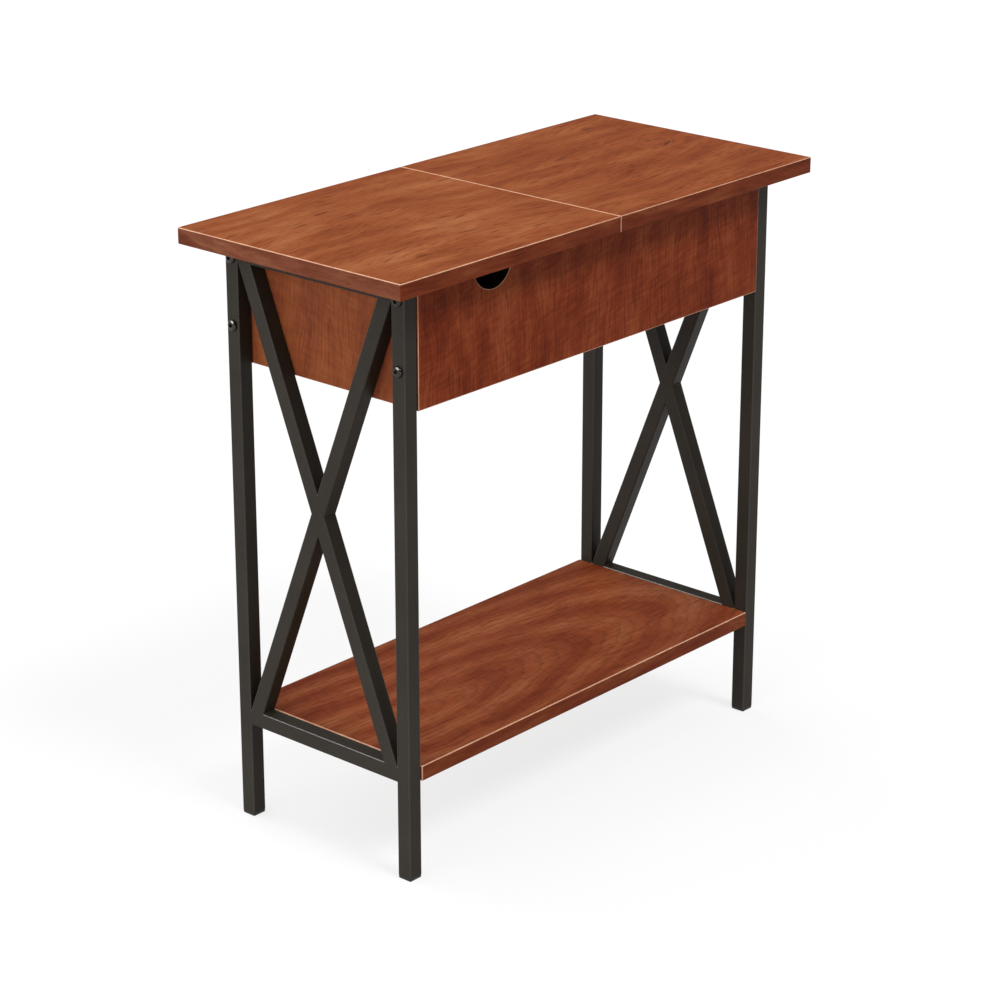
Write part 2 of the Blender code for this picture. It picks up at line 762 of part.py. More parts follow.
def make_table():
    """Make every piece of the table."""
    lid_axis = make_lid_axis()
    for end, side in ENDS:
        make_legs(end, side)
        make_rails(end, side)
        make_braces(end, side)
    make_glides()
    make_box()
    make_shelf()
    make_bolts()
    make_barrel_nuts()
    make_top(lid_axis)
    make_brackets()
    make_hinges(lid_axis)


clear_scene()
PARTS = new_collection("flip_top_end_table")
CUTTERS = new_collection("cutters")
make_table()
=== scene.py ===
"""Looks of the flip-top end table: laminate boards, powder-coated tube frames and their hardware.

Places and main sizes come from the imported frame, in metres, with X along the top, -Y at the front
and Z up. Each board, tube and fastener is modelled again here with its eased edges, bores and
recesses, rides on the body of the node that it stands for, and is dressed in a procedural finish.
"""

from __future__ import annotations

import json
import logging
import math
from dataclasses import dataclass, field, replace
from enum import Enum
from functools import cache
from typing import Any, Iterable, Sequence

import bmesh
import bpy
from mathutils import Matrix, Vector

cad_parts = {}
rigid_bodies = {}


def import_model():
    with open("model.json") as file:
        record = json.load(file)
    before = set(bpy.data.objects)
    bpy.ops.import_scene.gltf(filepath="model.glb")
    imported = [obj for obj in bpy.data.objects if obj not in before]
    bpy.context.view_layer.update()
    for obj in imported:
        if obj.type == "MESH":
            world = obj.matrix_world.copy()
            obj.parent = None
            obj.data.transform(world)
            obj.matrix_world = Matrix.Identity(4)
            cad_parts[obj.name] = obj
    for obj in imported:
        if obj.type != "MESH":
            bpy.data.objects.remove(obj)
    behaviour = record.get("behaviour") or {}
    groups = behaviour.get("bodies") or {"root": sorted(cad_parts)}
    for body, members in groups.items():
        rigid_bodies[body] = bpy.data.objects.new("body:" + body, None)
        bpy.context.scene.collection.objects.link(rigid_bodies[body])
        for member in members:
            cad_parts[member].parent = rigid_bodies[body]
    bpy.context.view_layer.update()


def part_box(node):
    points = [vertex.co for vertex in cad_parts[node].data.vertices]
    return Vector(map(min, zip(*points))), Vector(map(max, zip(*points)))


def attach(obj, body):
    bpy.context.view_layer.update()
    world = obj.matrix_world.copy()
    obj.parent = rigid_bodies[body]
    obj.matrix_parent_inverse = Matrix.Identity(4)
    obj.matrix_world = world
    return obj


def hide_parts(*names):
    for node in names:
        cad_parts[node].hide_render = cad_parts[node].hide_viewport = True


LOG = logging.getLogger("end_table")

MM = 0.001
X_AXIS = Vector((1.0, 0.0, 0.0))
Y_AXIS = Vector((0.0, 1.0, 0.0))
Z_AXIS = Vector((0.0, 0.0, 1.0))
LEVELS = ("upper", "lower")
QUARTER_TURN = math.pi / 2.0

Point = tuple[float, float]
Tree = bpy.types.NodeTree
Socket = bpy.types.NodeSocket
Shape = bmesh.types.BMesh
Piece = bpy.types.Object


class Body(Enum):
    """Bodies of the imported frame."""

    TABLE = "table"
    LID = "lid"


class Side(Enum):
    """A side of the table, with its sign along its axis."""

    @property
    def word(self) -> str:
        """Give the word that the side's node names hold."""
        return self.name.lower()


class End(Side):
    """The two end frames, with the sign of their X."""

    LEFT = -1
    RIGHT = 1


class Face(Side):
    """Front and back of the table, with the sign of their Y."""

    FRONT = -1
    BACK = 1


class Grain(Enum):
    """Which world axes run along the grain, across it and into the board."""

    LENGTH = "XYZ"
    DEPTH = "YXZ"
    UP_LONG_PANEL = "ZXY"
    UP_SIDE_PANEL = "ZYX"


class Outline(Enum):
    """Shape of one ring of a turned piece."""

    ROUND = "round"
    HEXAGON = "hexagon"
    CROSS = "cross"
    SLOT = "slot"


def linear(code: str) -> tuple[float, float, float, float]:
    """Turn an sRGB hex colour into linear light.

    Args:
        code: colour as six hex digits after a hash sign.

    Returns:
        Red, green, blue and an alpha of one.
    """
    channels = [int(code[place : place + 2], 16) / 255.0 for place in (1, 3, 5)]
    light = [c / 12.92 if c <= 0.04045 else ((c + 0.055) / 1.055) ** 2.4 for c in channels]
    return light[0], light[1], light[2], 1.0


def fill_inputs(tree: Tree, node: bpy.types.Node, inputs: dict[Any, Any]) -> None:
    """Link or set inputs of a node.

    Args:
        tree: node tree that holds the node.
        node: the node.
        inputs: sockets to link, or values to set, by input name or number.
    """
    for key, value in inputs.items():
        if isinstance(value, Socket):
            tree.links.new(value, node.inputs[key])
        else:
            node.inputs[key].default_value = value


def add_node(
    tree: Tree, kind: str, inputs: dict[Any, Any] | None = None, **settings: Any
) -> bpy.types.Node:
    """Add a shader node with its settings, and link or set its inputs.

    Args:
        tree: node tree of the material or world.
        kind: type name of the node, after the word ShaderNode.
        inputs: sockets to link, or values to set, by input name or number.
        settings: attributes of the node.

    Returns:
        The new node.
    """
    node = tree.nodes.new("ShaderNode" + kind)
    for key, value in settings.items():
        setattr(node, key, value)
    fill_inputs(tree, node, inputs or {})
    return node


def new_material(name: str) -> tuple[bpy.types.Material, Tree, bpy.types.Node]:
    """Make a material with a bare Principled shader.

    Args:
        name: name of the finish.

    Returns:
        The material, its node tree and its shader node.
    """
    material = bpy.data.materials.new(name)
    material.use_nodes = True
    return material, material.node_tree, material.node_tree.nodes["Principled BSDF"]


# Sways of the grain, slow ones and bends about knots: width and length in mm, and share of reach.
SWAYS = (((110.0, 260.0), 1.0), ((30.0, 75.0), 0.3))
# Tones at which the print shows its dark, middle and light colour.
TONE_STOPS = (0.25, 0.50, 0.75)
# Amounts at which the ink of growth lines, pores and gum marks starts, and is full.
LINE_SPAN, PORE_SPAN, MARK_SPAN = (0.6, 1.0), (0.54, 0.76), (0.64, 0.74)
# Values between which nearly all of a noise lies, and of two noises added together.
NOISE_LOW, NOISE_HIGH = 0.3, 0.7
MIXED_LOW, MIXED_HIGH = 0.7, 1.3


@dataclass(frozen=True)
class CherryLaminate:
    """Melamine-faced board printed as flat-sawn cherry, pressed satin.

    The print gives bands of golden and red brown along the grain, growth lines that arch where the
    tree's heart dips away, long streaks, short pores, a few dark gum marks, and on upright leaves
    a faint ripple across the grain. The press plate leaves a satin skin with faint pores. Streaks
    and pores are drawn two or three times as wide as real ones, so that they show.
    """

    name: str
    grain: Grain
    leaf_mm: tuple[float, float, float]
    tones: tuple[str, str, str]
    line: str = "#55230F"
    ring_mm: float = 5.0
    heart_mm: float = 40.0
    heart_tilt: float = 0.20
    uneven_mm: float = 30.0
    spells_per_ring: float = 0.4
    sway_mm: Point = (55.0, 0.0)
    line_strength: float = 0.14
    season_strength: float = 0.14
    patch_mm: Point = (34.0, 120.0)
    patch_strength: float = 1.3
    streak_mm: Point = (2.8, 80.0)
    streak_strength: float = 0.4
    ripple_mm: Point = (20.0, 3.8)
    ripple_lean: float = 0.25
    ripple_strength: float = 0.0
    pore_mm: Point = (1.6, 18.0)
    pore_strength: float = 0.6
    mark_mm: Point = (3.4, 42.0)
    mark_strength: float = 0.8
    press_mm: float = 0.15
    press_strength: float = 0.12
    roughness: Point = (0.40, 0.50)
    specular: float = 0.045

    def drawn_noise(
        self, tree: Tree, leaf: Socket, size_mm: Point, detail: float
    ) -> bpy.types.Node:
        """Add soft noise drawn out along the grain.

        Args:
            tree: node tree of the material.
            leaf: place on the printed leaf.
            size_mm: width across the grain and length along it.
            detail: octaves of finer noise.

        Returns:
            The noise node.
        """
        width, length = size_mm
        shares = (width / length, 1.0, 1.0)
        drawn = add_node(tree, "VectorMath", {0: leaf, 1: shares}, operation="MULTIPLY").outputs[0]
        return add_node(
            tree, "TexNoise", {"Vector": drawn, "Scale": 1.0 / (width * MM), "Detail": detail}
        )

    def figured(self, tree: Tree, leaf: Socket) -> Socket:
        """Bend the print's places across the grain, in slow sways and smaller bends about knots.

        Args:
            tree: node tree of the material.
            leaf: place on the printed leaf.

        Returns:
            The bent place.
        """
        across, through = self.sway_mm
        half = (0.5, 0.5, 0.5)
        bent = leaf
        for size_mm, share in SWAYS:
            sway = self.drawn_noise(tree, leaf, size_mm, 1.0).outputs["Color"]
            centred = add_node(tree, "VectorMath", {0: sway, 1: half}, operation="SUBTRACT")
            reach = (0.0, across * share * MM, through * share * MM)
            moved = {0: centred.outputs[0], 1: reach, 2: bent}
            bent = add_node(tree, "VectorMath", moved, operation="MULTIPLY_ADD").outputs[0]
        return bent

    def season(self, tree: Tree, bent: Socket, growth: Socket) -> tuple[Socket, Socket]:
        """Add the growth rings of a board sawn beside the heart of the tree.

        Args:
            tree: node tree of the material.
            bent: bent place on the printed leaf.
            growth: slow noise that makes wide and narrow rings.

        Returns:
            Soft wave of wide and narrow seasons, and a ramp that ends sharply in each late wood.
        """
        place = add_node(tree, "SeparateXYZ", {0: bent}).outputs
        tilted = {0: place["X"], 1: self.heart_tilt, 2: self.heart_mm * MM}
        depth = add_node(tree, "Math", tilted, operation="MULTIPLY_ADD").outputs[0]
        section = add_node(tree, "CombineXYZ", {"Y": place["Y"], "Z": depth}).outputs[0]
        radius = add_node(tree, "VectorMath", {0: section}, operation="LENGTH").outputs["Value"]
        grown = {0: growth, 1: self.uneven_mm * MM, 2: radius}
        uneven = add_node(tree, "Math", grown, operation="MULTIPLY_ADD").outputs[0]
        rings = {0: uneven, 1: self.ring_mm * MM}
        years = add_node(tree, "Math", rings, operation="DIVIDE").outputs[0]
        spells = {0: years, 1: self.spells_per_ring}
        spell = add_node(tree, "Math", spells, operation="MULTIPLY").outputs[0]
        wave = add_node(tree, "Math", {0: spell, 1: 1.0}, operation="PINGPONG")
        ramp = add_node(tree, "Math", {0: years}, operation="FRACT")
        return wave.outputs[0], ramp.outputs[0]

    def tone(self, tree: Tree, layers: Sequence[tuple[Socket, float]]) -> Socket:
        """Add layers of light and dark together about a middle tone.

        Args:
            tree: node tree of the material.
            layers: each layer, which runs about one half, and its strength.

        Returns:
            Tone from dark to light.
        """
        total: Any = 0.5 - sum(strength for _, strength in layers) / 2.0
        for layer, strength in layers:
            terms = {0: layer, 1: strength, 2: total}
            total = add_node(tree, "Math", terms, operation="MULTIPLY_ADD").outputs[0]
        return total

    def printed(self, tree: Tree, tone: Socket, inks: Iterable[tuple[Any, ...]]) -> Socket:
        """Turn a tone into the print's colours, and ink the dark line colour over them.

        Args:
            tree: node tree of the material.
            tone: tone from dark to light.
            inks: pattern of each ink, the amounts at which it starts and is full, and its strength.

        Returns:
            Colour of the print.
        """
        ramp = add_node(tree, "ValToRGB", {0: tone})
        ramp.color_ramp.elements.new(1.0)
        for stop, position, code in zip(ramp.color_ramp.elements, TONE_STOPS, self.tones):
            stop.position = position
            stop.color = linear(code)
        colour = ramp.outputs["Color"]
        for amount, (start, full), strength in inks:
            span = {0: amount, 1: start, 2: full, 3: 0.0, 4: strength}
            ink = add_node(tree, "MapRange", span).outputs[0]
            layers = {0: ink, 6: colour, 7: linear(self.line)}
            colour = add_node(tree, "Mix", layers, data_type="RGBA").outputs[2]
        return colour

    def make(self) -> bpy.types.Material:
        """Make the laminate's material.

        Returns:
            The material.
        """
        material, tree, shader = new_material(self.name)
        place = add_node(tree, "TexCoord").outputs["Object"]
        axes = add_node(tree, "SeparateXYZ", {0: place}).outputs
        turns = {own: axes[world] for own, world in zip("XYZ", self.grain.value)}
        turned = add_node(tree, "CombineXYZ", turns).outputs[0]
        shift = tuple(value * MM for value in self.leaf_mm)
        leaf = add_node(tree, "VectorMath", {0: turned, 1: shift}, operation="ADD").outputs[0]
        bent = self.figured(tree, leaf)
        lean = {0: bent, "Angle": self.ripple_lean}
        leaning = add_node(tree, "VectorRotate", lean, rotation_type="Z_AXIS").outputs[0]

        patch, streak, ripple, pore, mark = (
            self.drawn_noise(tree, where, size_mm, detail).outputs["Fac"]
            for where, size_mm, detail in (
                (bent, self.patch_mm, 4.0),
                (bent, self.streak_mm, 2.0),
                (leaning, self.ripple_mm, 1.0),
                (bent, self.pore_mm, 1.0),
                (bent, self.mark_mm, 2.0),
            )
        )
        season, line = self.season(tree, bent, patch)
        layers = (
            (patch, self.patch_strength),
            (streak, self.streak_strength),
            (ripple, self.ripple_strength),
            (season, -self.season_strength),
        )
        inks = (
            (line, LINE_SPAN, self.line_strength),
            (pore, PORE_SPAN, self.pore_strength),
            (mark, MARK_SPAN, self.mark_strength),
        )
        low, high = self.roughness
        satin = add_node(tree, "MapRange", {0: pore, 1: NOISE_LOW, 2: NOISE_HIGH, 3: low, 4: high})
        dents = {"Strength": self.press_strength, "Distance": self.press_mm * MM, "Height": pore}
        pressed = add_node(tree, "Bump", dents, invert=True)
        surface = {
            "Base Color": self.printed(tree, self.tone(tree, layers), inks),
            "Roughness": satin.outputs[0],
            "Normal": pressed.outputs[0],
            "Specular IOR Level": self.specular,
        }
        fill_inputs(tree, shader, surface)
        return material


@dataclass(frozen=True)
class SpeckledFinish:
    """A finish whose colour, roughness and surface vary by one even grit.

    Powder coat melts into a fine orange peel, moulded plastic takes the spark-eroded grit of its
    mould, plated steel keeps faint pickling marks, and particleboard shows its chips. A slow cloud
    of tone lies over the grit.
    """

    name: str
    dark: str
    light: str
    grit_mm: float
    roughness: Point
    metallic: float = 0.0
    bump_mm: float = 0.02
    bump: float = 0.2
    specular: float = 0.5
    cloud_mm: float = 60.0

    def make(self) -> bpy.types.Material:
        """Make the finish's material.

        Returns:
            The material.
        """
        material, tree, shader = new_material(self.name)
        place = add_node(tree, "TexCoord").outputs["Object"]
        grit, cloud = (
            add_node(
                tree, "TexNoise", {"Vector": place, "Scale": 1.0 / (size * MM), "Detail": detail}
            ).outputs["Fac"]
            for size, detail in ((self.grit_mm, 3.0), (self.cloud_mm, 2.0))
        )
        mixed = add_node(tree, "Math", {0: grit, 1: cloud}, operation="ADD").outputs[0]
        span = {0: mixed, 1: MIXED_LOW, 2: MIXED_HIGH, 3: 0.0, 4: 1.0}
        tone = add_node(tree, "MapRange", span).outputs[0]
        tones = {0: tone, 6: linear(self.dark), 7: linear(self.light)}
        low, high = self.roughness
        rough = add_node(tree, "MapRange", {0: grit, 1: NOISE_LOW, 2: NOISE_HIGH, 3: low, 4: high})
        peel = {"Strength": self.bump, "Distance": self.bump_mm * MM, "Height": grit}
        surface = {
            "Base Color": add_node(tree, "Mix", tones, data_type="RGBA").outputs[2],
            "Roughness": rough.outputs[0],
            "Normal": add_node(tree, "Bump", peel).outputs[0],
            "Metallic": self.metallic,
            "Specular IOR Level": self.specular,
        }
        fill_inputs(tree, shader, surface)
        return material


Finish = CherryLaminate | SpeckledFinish

# Flat-sawn cherry print on the top: warm, with a few gum marks and little figure on the lid.
LID_LAMINATE = CherryLaminate(
    "cherry_laminate_lid",
    Grain.LENGTH,
    (410.0, 190.0, 0.0),
    ("#86401B", "#985028", "#A9653A"),
    line_strength=0.24,
    patch_strength=1.15,
)
# The fixed half has an arch in the middle, so the heart lies nearer to the surface.
FIXED_LAMINATE = CherryLaminate(
    "cherry_laminate_fixed_top",
    Grain.LENGTH,
    (-60.0, -10.0, 0.0),
    ("#7E3817", "#914922", "#A25C32"),
    heart_mm=0.0,
    line_strength=0.3,
    patch_strength=1.05,
)
# The shelf is the most figured leaf: a chain of arches that point along the grain.
SHELF_LAMINATE = CherryLaminate(
    "cherry_laminate_shelf",
    Grain.LENGTH,
    (190.0, 25.0, 0.0),
    ("#73311A", "#884325", "#985736"),
    ring_mm=6.0,
    heart_mm=0.0,
    heart_tilt=0.25,
    uneven_mm=16.0,
    sway_mm=(36.0, 0.0),
    line_strength=0.34,
    season_strength=0.34,
    patch_strength=0.7,
    ripple_strength=0.24,
    mark_strength=0.5,
)
# The panels are cut with the grain upright: redder, in soft bands, with a ripple across them.
LONG_PANEL_LAMINATE = CherryLaminate(
    "cherry_laminate_long_panel",
    Grain.UP_LONG_PANEL,
    (260.0, 275.0, 0.0),
    ("#692613", "#84381C", "#984D2B"),
    season_strength=0.08,
    patch_mm=(30.0, 95.0),
    patch_strength=0.9,
    streak_mm=(1.9, 60.0),
    streak_strength=0.55,
    ripple_strength=0.42,
    mark_strength=0.4,
)
# The sides are of the same kind, paler and calmer.
SIDE_PANEL_LAMINATE = replace(
    LONG_PANEL_LAMINATE,
    name="cherry_laminate_side_panel",
    grain=Grain.UP_SIDE_PANEL,
    leaf_mm=(90.0, 240.0, 0.0),
    tones=("#80422D", "#945030", "#A3613C"),
    patch_strength=0.65,
    streak_strength=0.42,
    ripple_strength=0.36,
    pore_strength=0.35,
    mark_strength=0.3,
)
# Edge band is a printed strip cut from the same print, duller than the faces.
LENGTH_BAND = CherryLaminate(
    "cherry_edge_band_length",
    Grain.LENGTH,
    (0.0, 0.0, 70.0),
    ("#672915", "#7D391F", "#89482B"),
    sway_mm=(20.0, 45.0),
    patch_mm=(14.0, 60.0),
    pore_strength=0.45,
    mark_strength=0.3,
)
# The band on the ends of the boards runs with their depth, and is paler.
DEPTH_BAND = replace(
    LENGTH_BAND,
    name="cherry_edge_band_depth",
    grain=Grain.DEPTH,
    leaf_mm=(0.0, 40.0, 20.0),
    tones=("#713A28", "#834B36", "#935A40"),
)
# Where the trimmer eases an edge it bares the pale body of the edge band as a thin line.
TRIMMED_EDGE = SpeckledFinish(
    "trimmed_edge_band", "#D09878", "#E6B899", 6.0, (0.4, 0.5), bump=0.05, specular=0.12
)
# The wall of the finger notch is painted near black: painted shade for the deep recess under the
# lid's overhang.
NOTCH_PAINTED_SHADE = SpeckledFinish(
    "stained_notch_wall", "#0B0706", "#1A100C", 2.5, (0.6, 0.75), specular=0.2
)
# Bare particleboard, pressed chips of 2 to 3 mm, in bores and cut edges that no band covers.
PARTICLEBOARD = SpeckledFinish(
    "particleboard_core", "#8A6A48", "#C9A678", 2.6, (0.75, 0.9), bump=0.5, bump_mm=0.1
)
# Charcoal powder coat: a soft sheen broken by orange peel of about 0.8 mm, drawn coarser to show.
POWDER_COAT = SpeckledFinish(
    "charcoal_powder_coat",
    "#2B251E",
    "#352F27",
    1.4,
    (0.42, 0.52),
    bump=0.25,
    bump_mm=0.03,
    specular=0.12,
)
# The coat draws thin over the tube's corners, where it is smoother and catches fine lines of light.
# Its darker colour is painted shade, for the dark lines along the tube's corners.
CORNER_COAT_AND_PAINTED_SHADE = SpeckledFinish(
    "thin_powder_coat_on_corners",
    "#201B16",
    "#2A241D",
    1.4,
    (0.26, 0.34),
    bump=0.1,
    bump_mm=0.03,
    specular=0.45,
)
# Black nickel plate: dark warm mirror, softened by the fine marks of tumbling.
BLACK_NICKEL = SpeckledFinish(
    "black_nickel_plate", "#3A3734", "#4C4844", 0.8, (0.14, 0.22), metallic=1.0, bump=0.05
)
# Bright zinc plate: pale blue grey with cloudy passivation.
ZINC_PLATE = SpeckledFinish(
    "bright_zinc_plate", "#A9ADB0", "#C8CBCC", 1.1, (0.28, 0.42), metallic=1.0, bump=0.1
)
# Moulded polyethylene: deep black with a fine matt grit.
BLACK_PLASTIC = SpeckledFinish(
    "moulded_black_polyethylene", "#0F0F0F", "#1B1B1A", 0.9, (0.5, 0.62), bump=0.3
)


@cache
def material_of(finish: Finish) -> bpy.types.Material:
    """Give the material of a finish, made when first asked for."""
    return finish.make()


def new_piece(name: str, bm: Shape, finishes: Sequence[Finish]) -> Piece:
    """Turn a finished bmesh into an object of the scene, and free it.

    Args:
        name: name of the piece.
        bm: geometry in world places.
        finishes: one finish for each material number of the faces.

    Returns:
        The new object.
    """
    bmesh.ops.recalc_face_normals(bm, faces=bm.faces)
    mesh = bpy.data.meshes.new(name)
    bm.to_mesh(mesh)
    bm.free()
    for finish in finishes:
        mesh.materials.append(material_of(finish))
    piece = bpy.data.objects.new(name, mesh)
    bpy.context.scene.collection.objects.link(piece)
    return piece


# Sharpest angles in degrees that are shaded smooth: on coat and plastic, on turned or pressed
# metal, on bent strip and on weld beads.
COAT_ANGLE, METAL_ANGLE, BEND_ANGLE, BEAD_ANGLE = 40.0, 35.0, 30.0, 60.0


def soften(piece: Piece, angle: float = COAT_ANGLE) -> Piece:
    """Shade a piece smooth up to an angle, and keep its flat faces flat.

    Args:
        piece: the piece.
        angle: sharpest angle in degrees that is still shaded smooth.

    Returns:
        The same piece.
    """
    piece.data.shade_smooth()
    piece.data.set_sharp_from_angle(angle=math.radians(angle))
    even = piece.modifiers.new("even_shading", "WEIGHTED_NORMAL")
    even.keep_sharp = True
    return piece


def settle(piece: Piece, body: Body, slot: str, *nodes: str) -> Piece:
    """Ride a piece on its body and hide the nodes that it stands for.

    Args:
        piece: the piece, in place.
        body: body that carries it.
        slot: material slot of the record; not used.
        nodes: nodes that it stands for.

    Returns:
        The same piece.
    """
    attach(piece, body.value)
    if nodes:
        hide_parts(*nodes)
    LOG.info("%s rides on %s for %s", piece.name, body.value, ", ".join(nodes) or "no node")
    return piece


def middle_of(node: str) -> Vector:
    """Give the middle of a node's box."""
    low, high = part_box(node)
    return (low + high) / 2.0


def add_box(bm: Shape, low: Sequence[float], high: Sequence[float]) -> list[Any]:
    """Add a box between two opposite corners.

    Args:
        bm: geometry to add to.
        low: one corner.
        high: the other corner.

    Returns:
        The new vertices.
    """
    low, high = Vector(map(min, low, high)), Vector(map(max, low, high))
    shape = Matrix.Translation((low + high) / 2.0) @ Matrix.Diagonal((*(high - low), 1.0))
    return bmesh.ops.create_cube(bm, size=1.0, matrix=shape)["verts"]


def edges_of(verts: Iterable[Any]) -> list[Any]:
    """Give the edges that join the given vertices, in a fixed order.

    Args:
        verts: the vertices.

    Returns:
        The edges.
    """
    chosen = dict.fromkeys(verts)
    linked = dict.fromkeys(e for v in chosen for e in v.link_edges)
    return [e for e in linked if all(v in chosen for v in e.verts)]


def upright_of(verts: Iterable[Any]) -> list[Any]:
    """Give the upright edges that join the given vertices."""
    return [e for e in edges_of(verts) if abs(e.verts[0].co.z - e.verts[1].co.z) > MM]


def ease(bm: Shape, edges: Sequence[Any], width: float, segments: int = 1) -> None:
    """Ease edges with a flat chamfer, or with a round of several segments."""
    bmesh.ops.bevel(bm, geom=edges, offset=width, segments=segments, profile=0.5, affect="EDGES")


def bridge(bm: Shape, first: Sequence[Any], second: Sequence[Any]) -> list[Any]:
    """Join two closed loops of vertices by a band of faces, and give the faces."""
    steps = [(step, (step + 1) % len(first)) for step in range(len(first))]
    return [bm.faces.new((first[a], first[b], second[b], second[a])) for a, b in steps]


def add_skin(bm: Shape, loops: Sequence[Sequence[Any]]) -> list[Any]:
    """Join closed loops of vertices into one closed skin.

    Args:
        bm: geometry to add to.
        loops: the loops, of one length, in order along the skin.

    Returns:
        The new faces.
    """
    faces = []
    for first, second in zip(loops, loops[1:]):
        faces += bridge(bm, first, second)
    faces.append(bm.faces.new(list(reversed(loops[0]))))
    faces.append(bm.faces.new(loops[-1]))
    return faces


# Half widths of a cross recess's arms and of a slot, as shares of their reach.
CROSS_ARM, SLOT_ARM = 0.22, 0.18
# Least sine or cosine that a cross or a slot is worked out with, so that its reach stays finite.
CROSS_LEAST, SLOT_LEAST = 0.16, 0.01


def ring_radius(outline: Outline, radius: float, angle: float) -> float:
    """Give the radius of a ring's outline at an angle.

    Args:
        outline: shape of the ring.
        radius: across-flats half width of a hexagon, reach of a cross or slot, or radius.
        angle: angle about the axis.

    Returns:
        The radius there.
    """
    if outline is Outline.HEXAGON:
        sector = math.pi / 3.0
        return radius / math.cos(angle % sector - sector / 2.0)
    if outline is Outline.CROSS:
        lean = abs((angle + QUARTER_TURN / 2.0) % QUARTER_TURN - QUARTER_TURN / 2.0)
        arm = CROSS_ARM * radius
        return min(radius / math.cos(lean), arm / max(math.sin(lean), CROSS_LEAST))
    if outline is Outline.SLOT:
        along, beside = abs(math.cos(angle)), abs(math.sin(angle))
        reach = radius / max(along, SLOT_LEAST)
        return min(reach, SLOT_ARM * radius / max(beside, SLOT_LEAST))
    return radius


def add_turned(
    bm: Shape, place: Matrix, rings: Iterable[tuple[Any, ...]], sides: int = 48
) -> list[Any]:
    """Add a closed piece turned about its own Z from a list of rings.

    Args:
        bm: geometry to add to.
        place: matrix from the piece's own axes to the world.
        rings: radius and height of each ring, in order along the surface, and an outline
            where it isn't round.
        sides: points around each ring.

    Returns:
        The new faces.
    """
    loops = []
    for radius, height, *shape in rings:
        outline = shape[0] if shape else Outline.ROUND
        loop = []
        for step in range(sides):
            angle = 2.0 * math.pi * step / sides
            reach = ring_radius(outline, radius, angle)
            local = Vector((reach * math.cos(angle), reach * math.sin(angle), height))
            loop.append(bm.verts.new(place @ local))
        loops.append(loop)
    return add_skin(bm, loops)


def facing(direction: Sequence[float], at: Sequence[float]) -> Matrix:
    """Give the matrix that stands a turned piece at a point, along a direction."""
    turn = Vector(direction).to_track_quat("Z", "Y").to_matrix().to_4x4()
    return Matrix.Translation(Vector(at)) @ turn


@dataclass
class Board:
    """A faced board with banded edges, whose eased edges show a pale trimmed line."""

    name: str
    node: str
    body: Body
    laminate: CherryLaminate
    slot: str
    broad: Vector
    pale: tuple[Vector, ...]
    chamfer: float = 0.7 * MM
    tuck: Vector = field(default_factory=Vector)

    FACE, TRIM, BAND_LENGTH, BAND_DEPTH, CORE, STAIN = range(6)
    # Least part of a normal along an axis on a face square to it, and on an edge eased towards it.
    SQUARE, TOWARDS = 0.95, 0.5

    def corners(self) -> tuple[Vector, Vector]:
        """Give the board's lowest and highest corners, from its node and what is tucked away."""
        low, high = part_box(self.node)
        return low + self.tuck, high - self.tuck

    def finishes(self) -> tuple[Finish, ...]:
        """Give the finishes by material number."""
        return self.laminate, TRIMMED_EDGE, LENGTH_BAND, DEPTH_BAND, PARTICLEBOARD, NOTCH_PAINTED_SHADE

    def shape(self, bm: Shape) -> None:
        """Add the board's block, with all of its edges eased."""
        verts = add_box(bm, *self.corners())
        ease(bm, edges_of(verts), self.chamfer)

    def number(self, face: bmesh.types.BMFace) -> int:
        """Choose the material number of a face from the way it faces.

        Args:
            face: a face of the board.

        Returns:
            Number of its finish.
        """
        normal = face.normal
        if max(abs(part) for part in normal) < self.SQUARE:
            shows_trim = any(normal.dot(side) > self.TOWARDS for side in self.pale)
            return self.TRIM if shows_trim else self.BAND_LENGTH
        if abs(normal.dot(self.broad)) > self.SQUARE:
            return self.FACE
        return self.BAND_DEPTH if abs(normal.x) > self.SQUARE else self.BAND_LENGTH

    def drill(self, piece: Piece) -> None:
        """Leave a plain board without bores."""

    def build(self) -> Piece:
        """Build, dress, drill and settle the board.

        Returns:
            The board.
        """
        bm = bmesh.new()
        self.shape(bm)
        bmesh.ops.recalc_face_normals(bm, faces=bm.faces)
        for face in bm.faces:
            face.normal_update()
            face.material_index = self.number(face)
        piece = new_piece(self.name, bm, self.finishes())
        self.drill(piece)
        return settle(piece, self.body, self.slot, self.node)


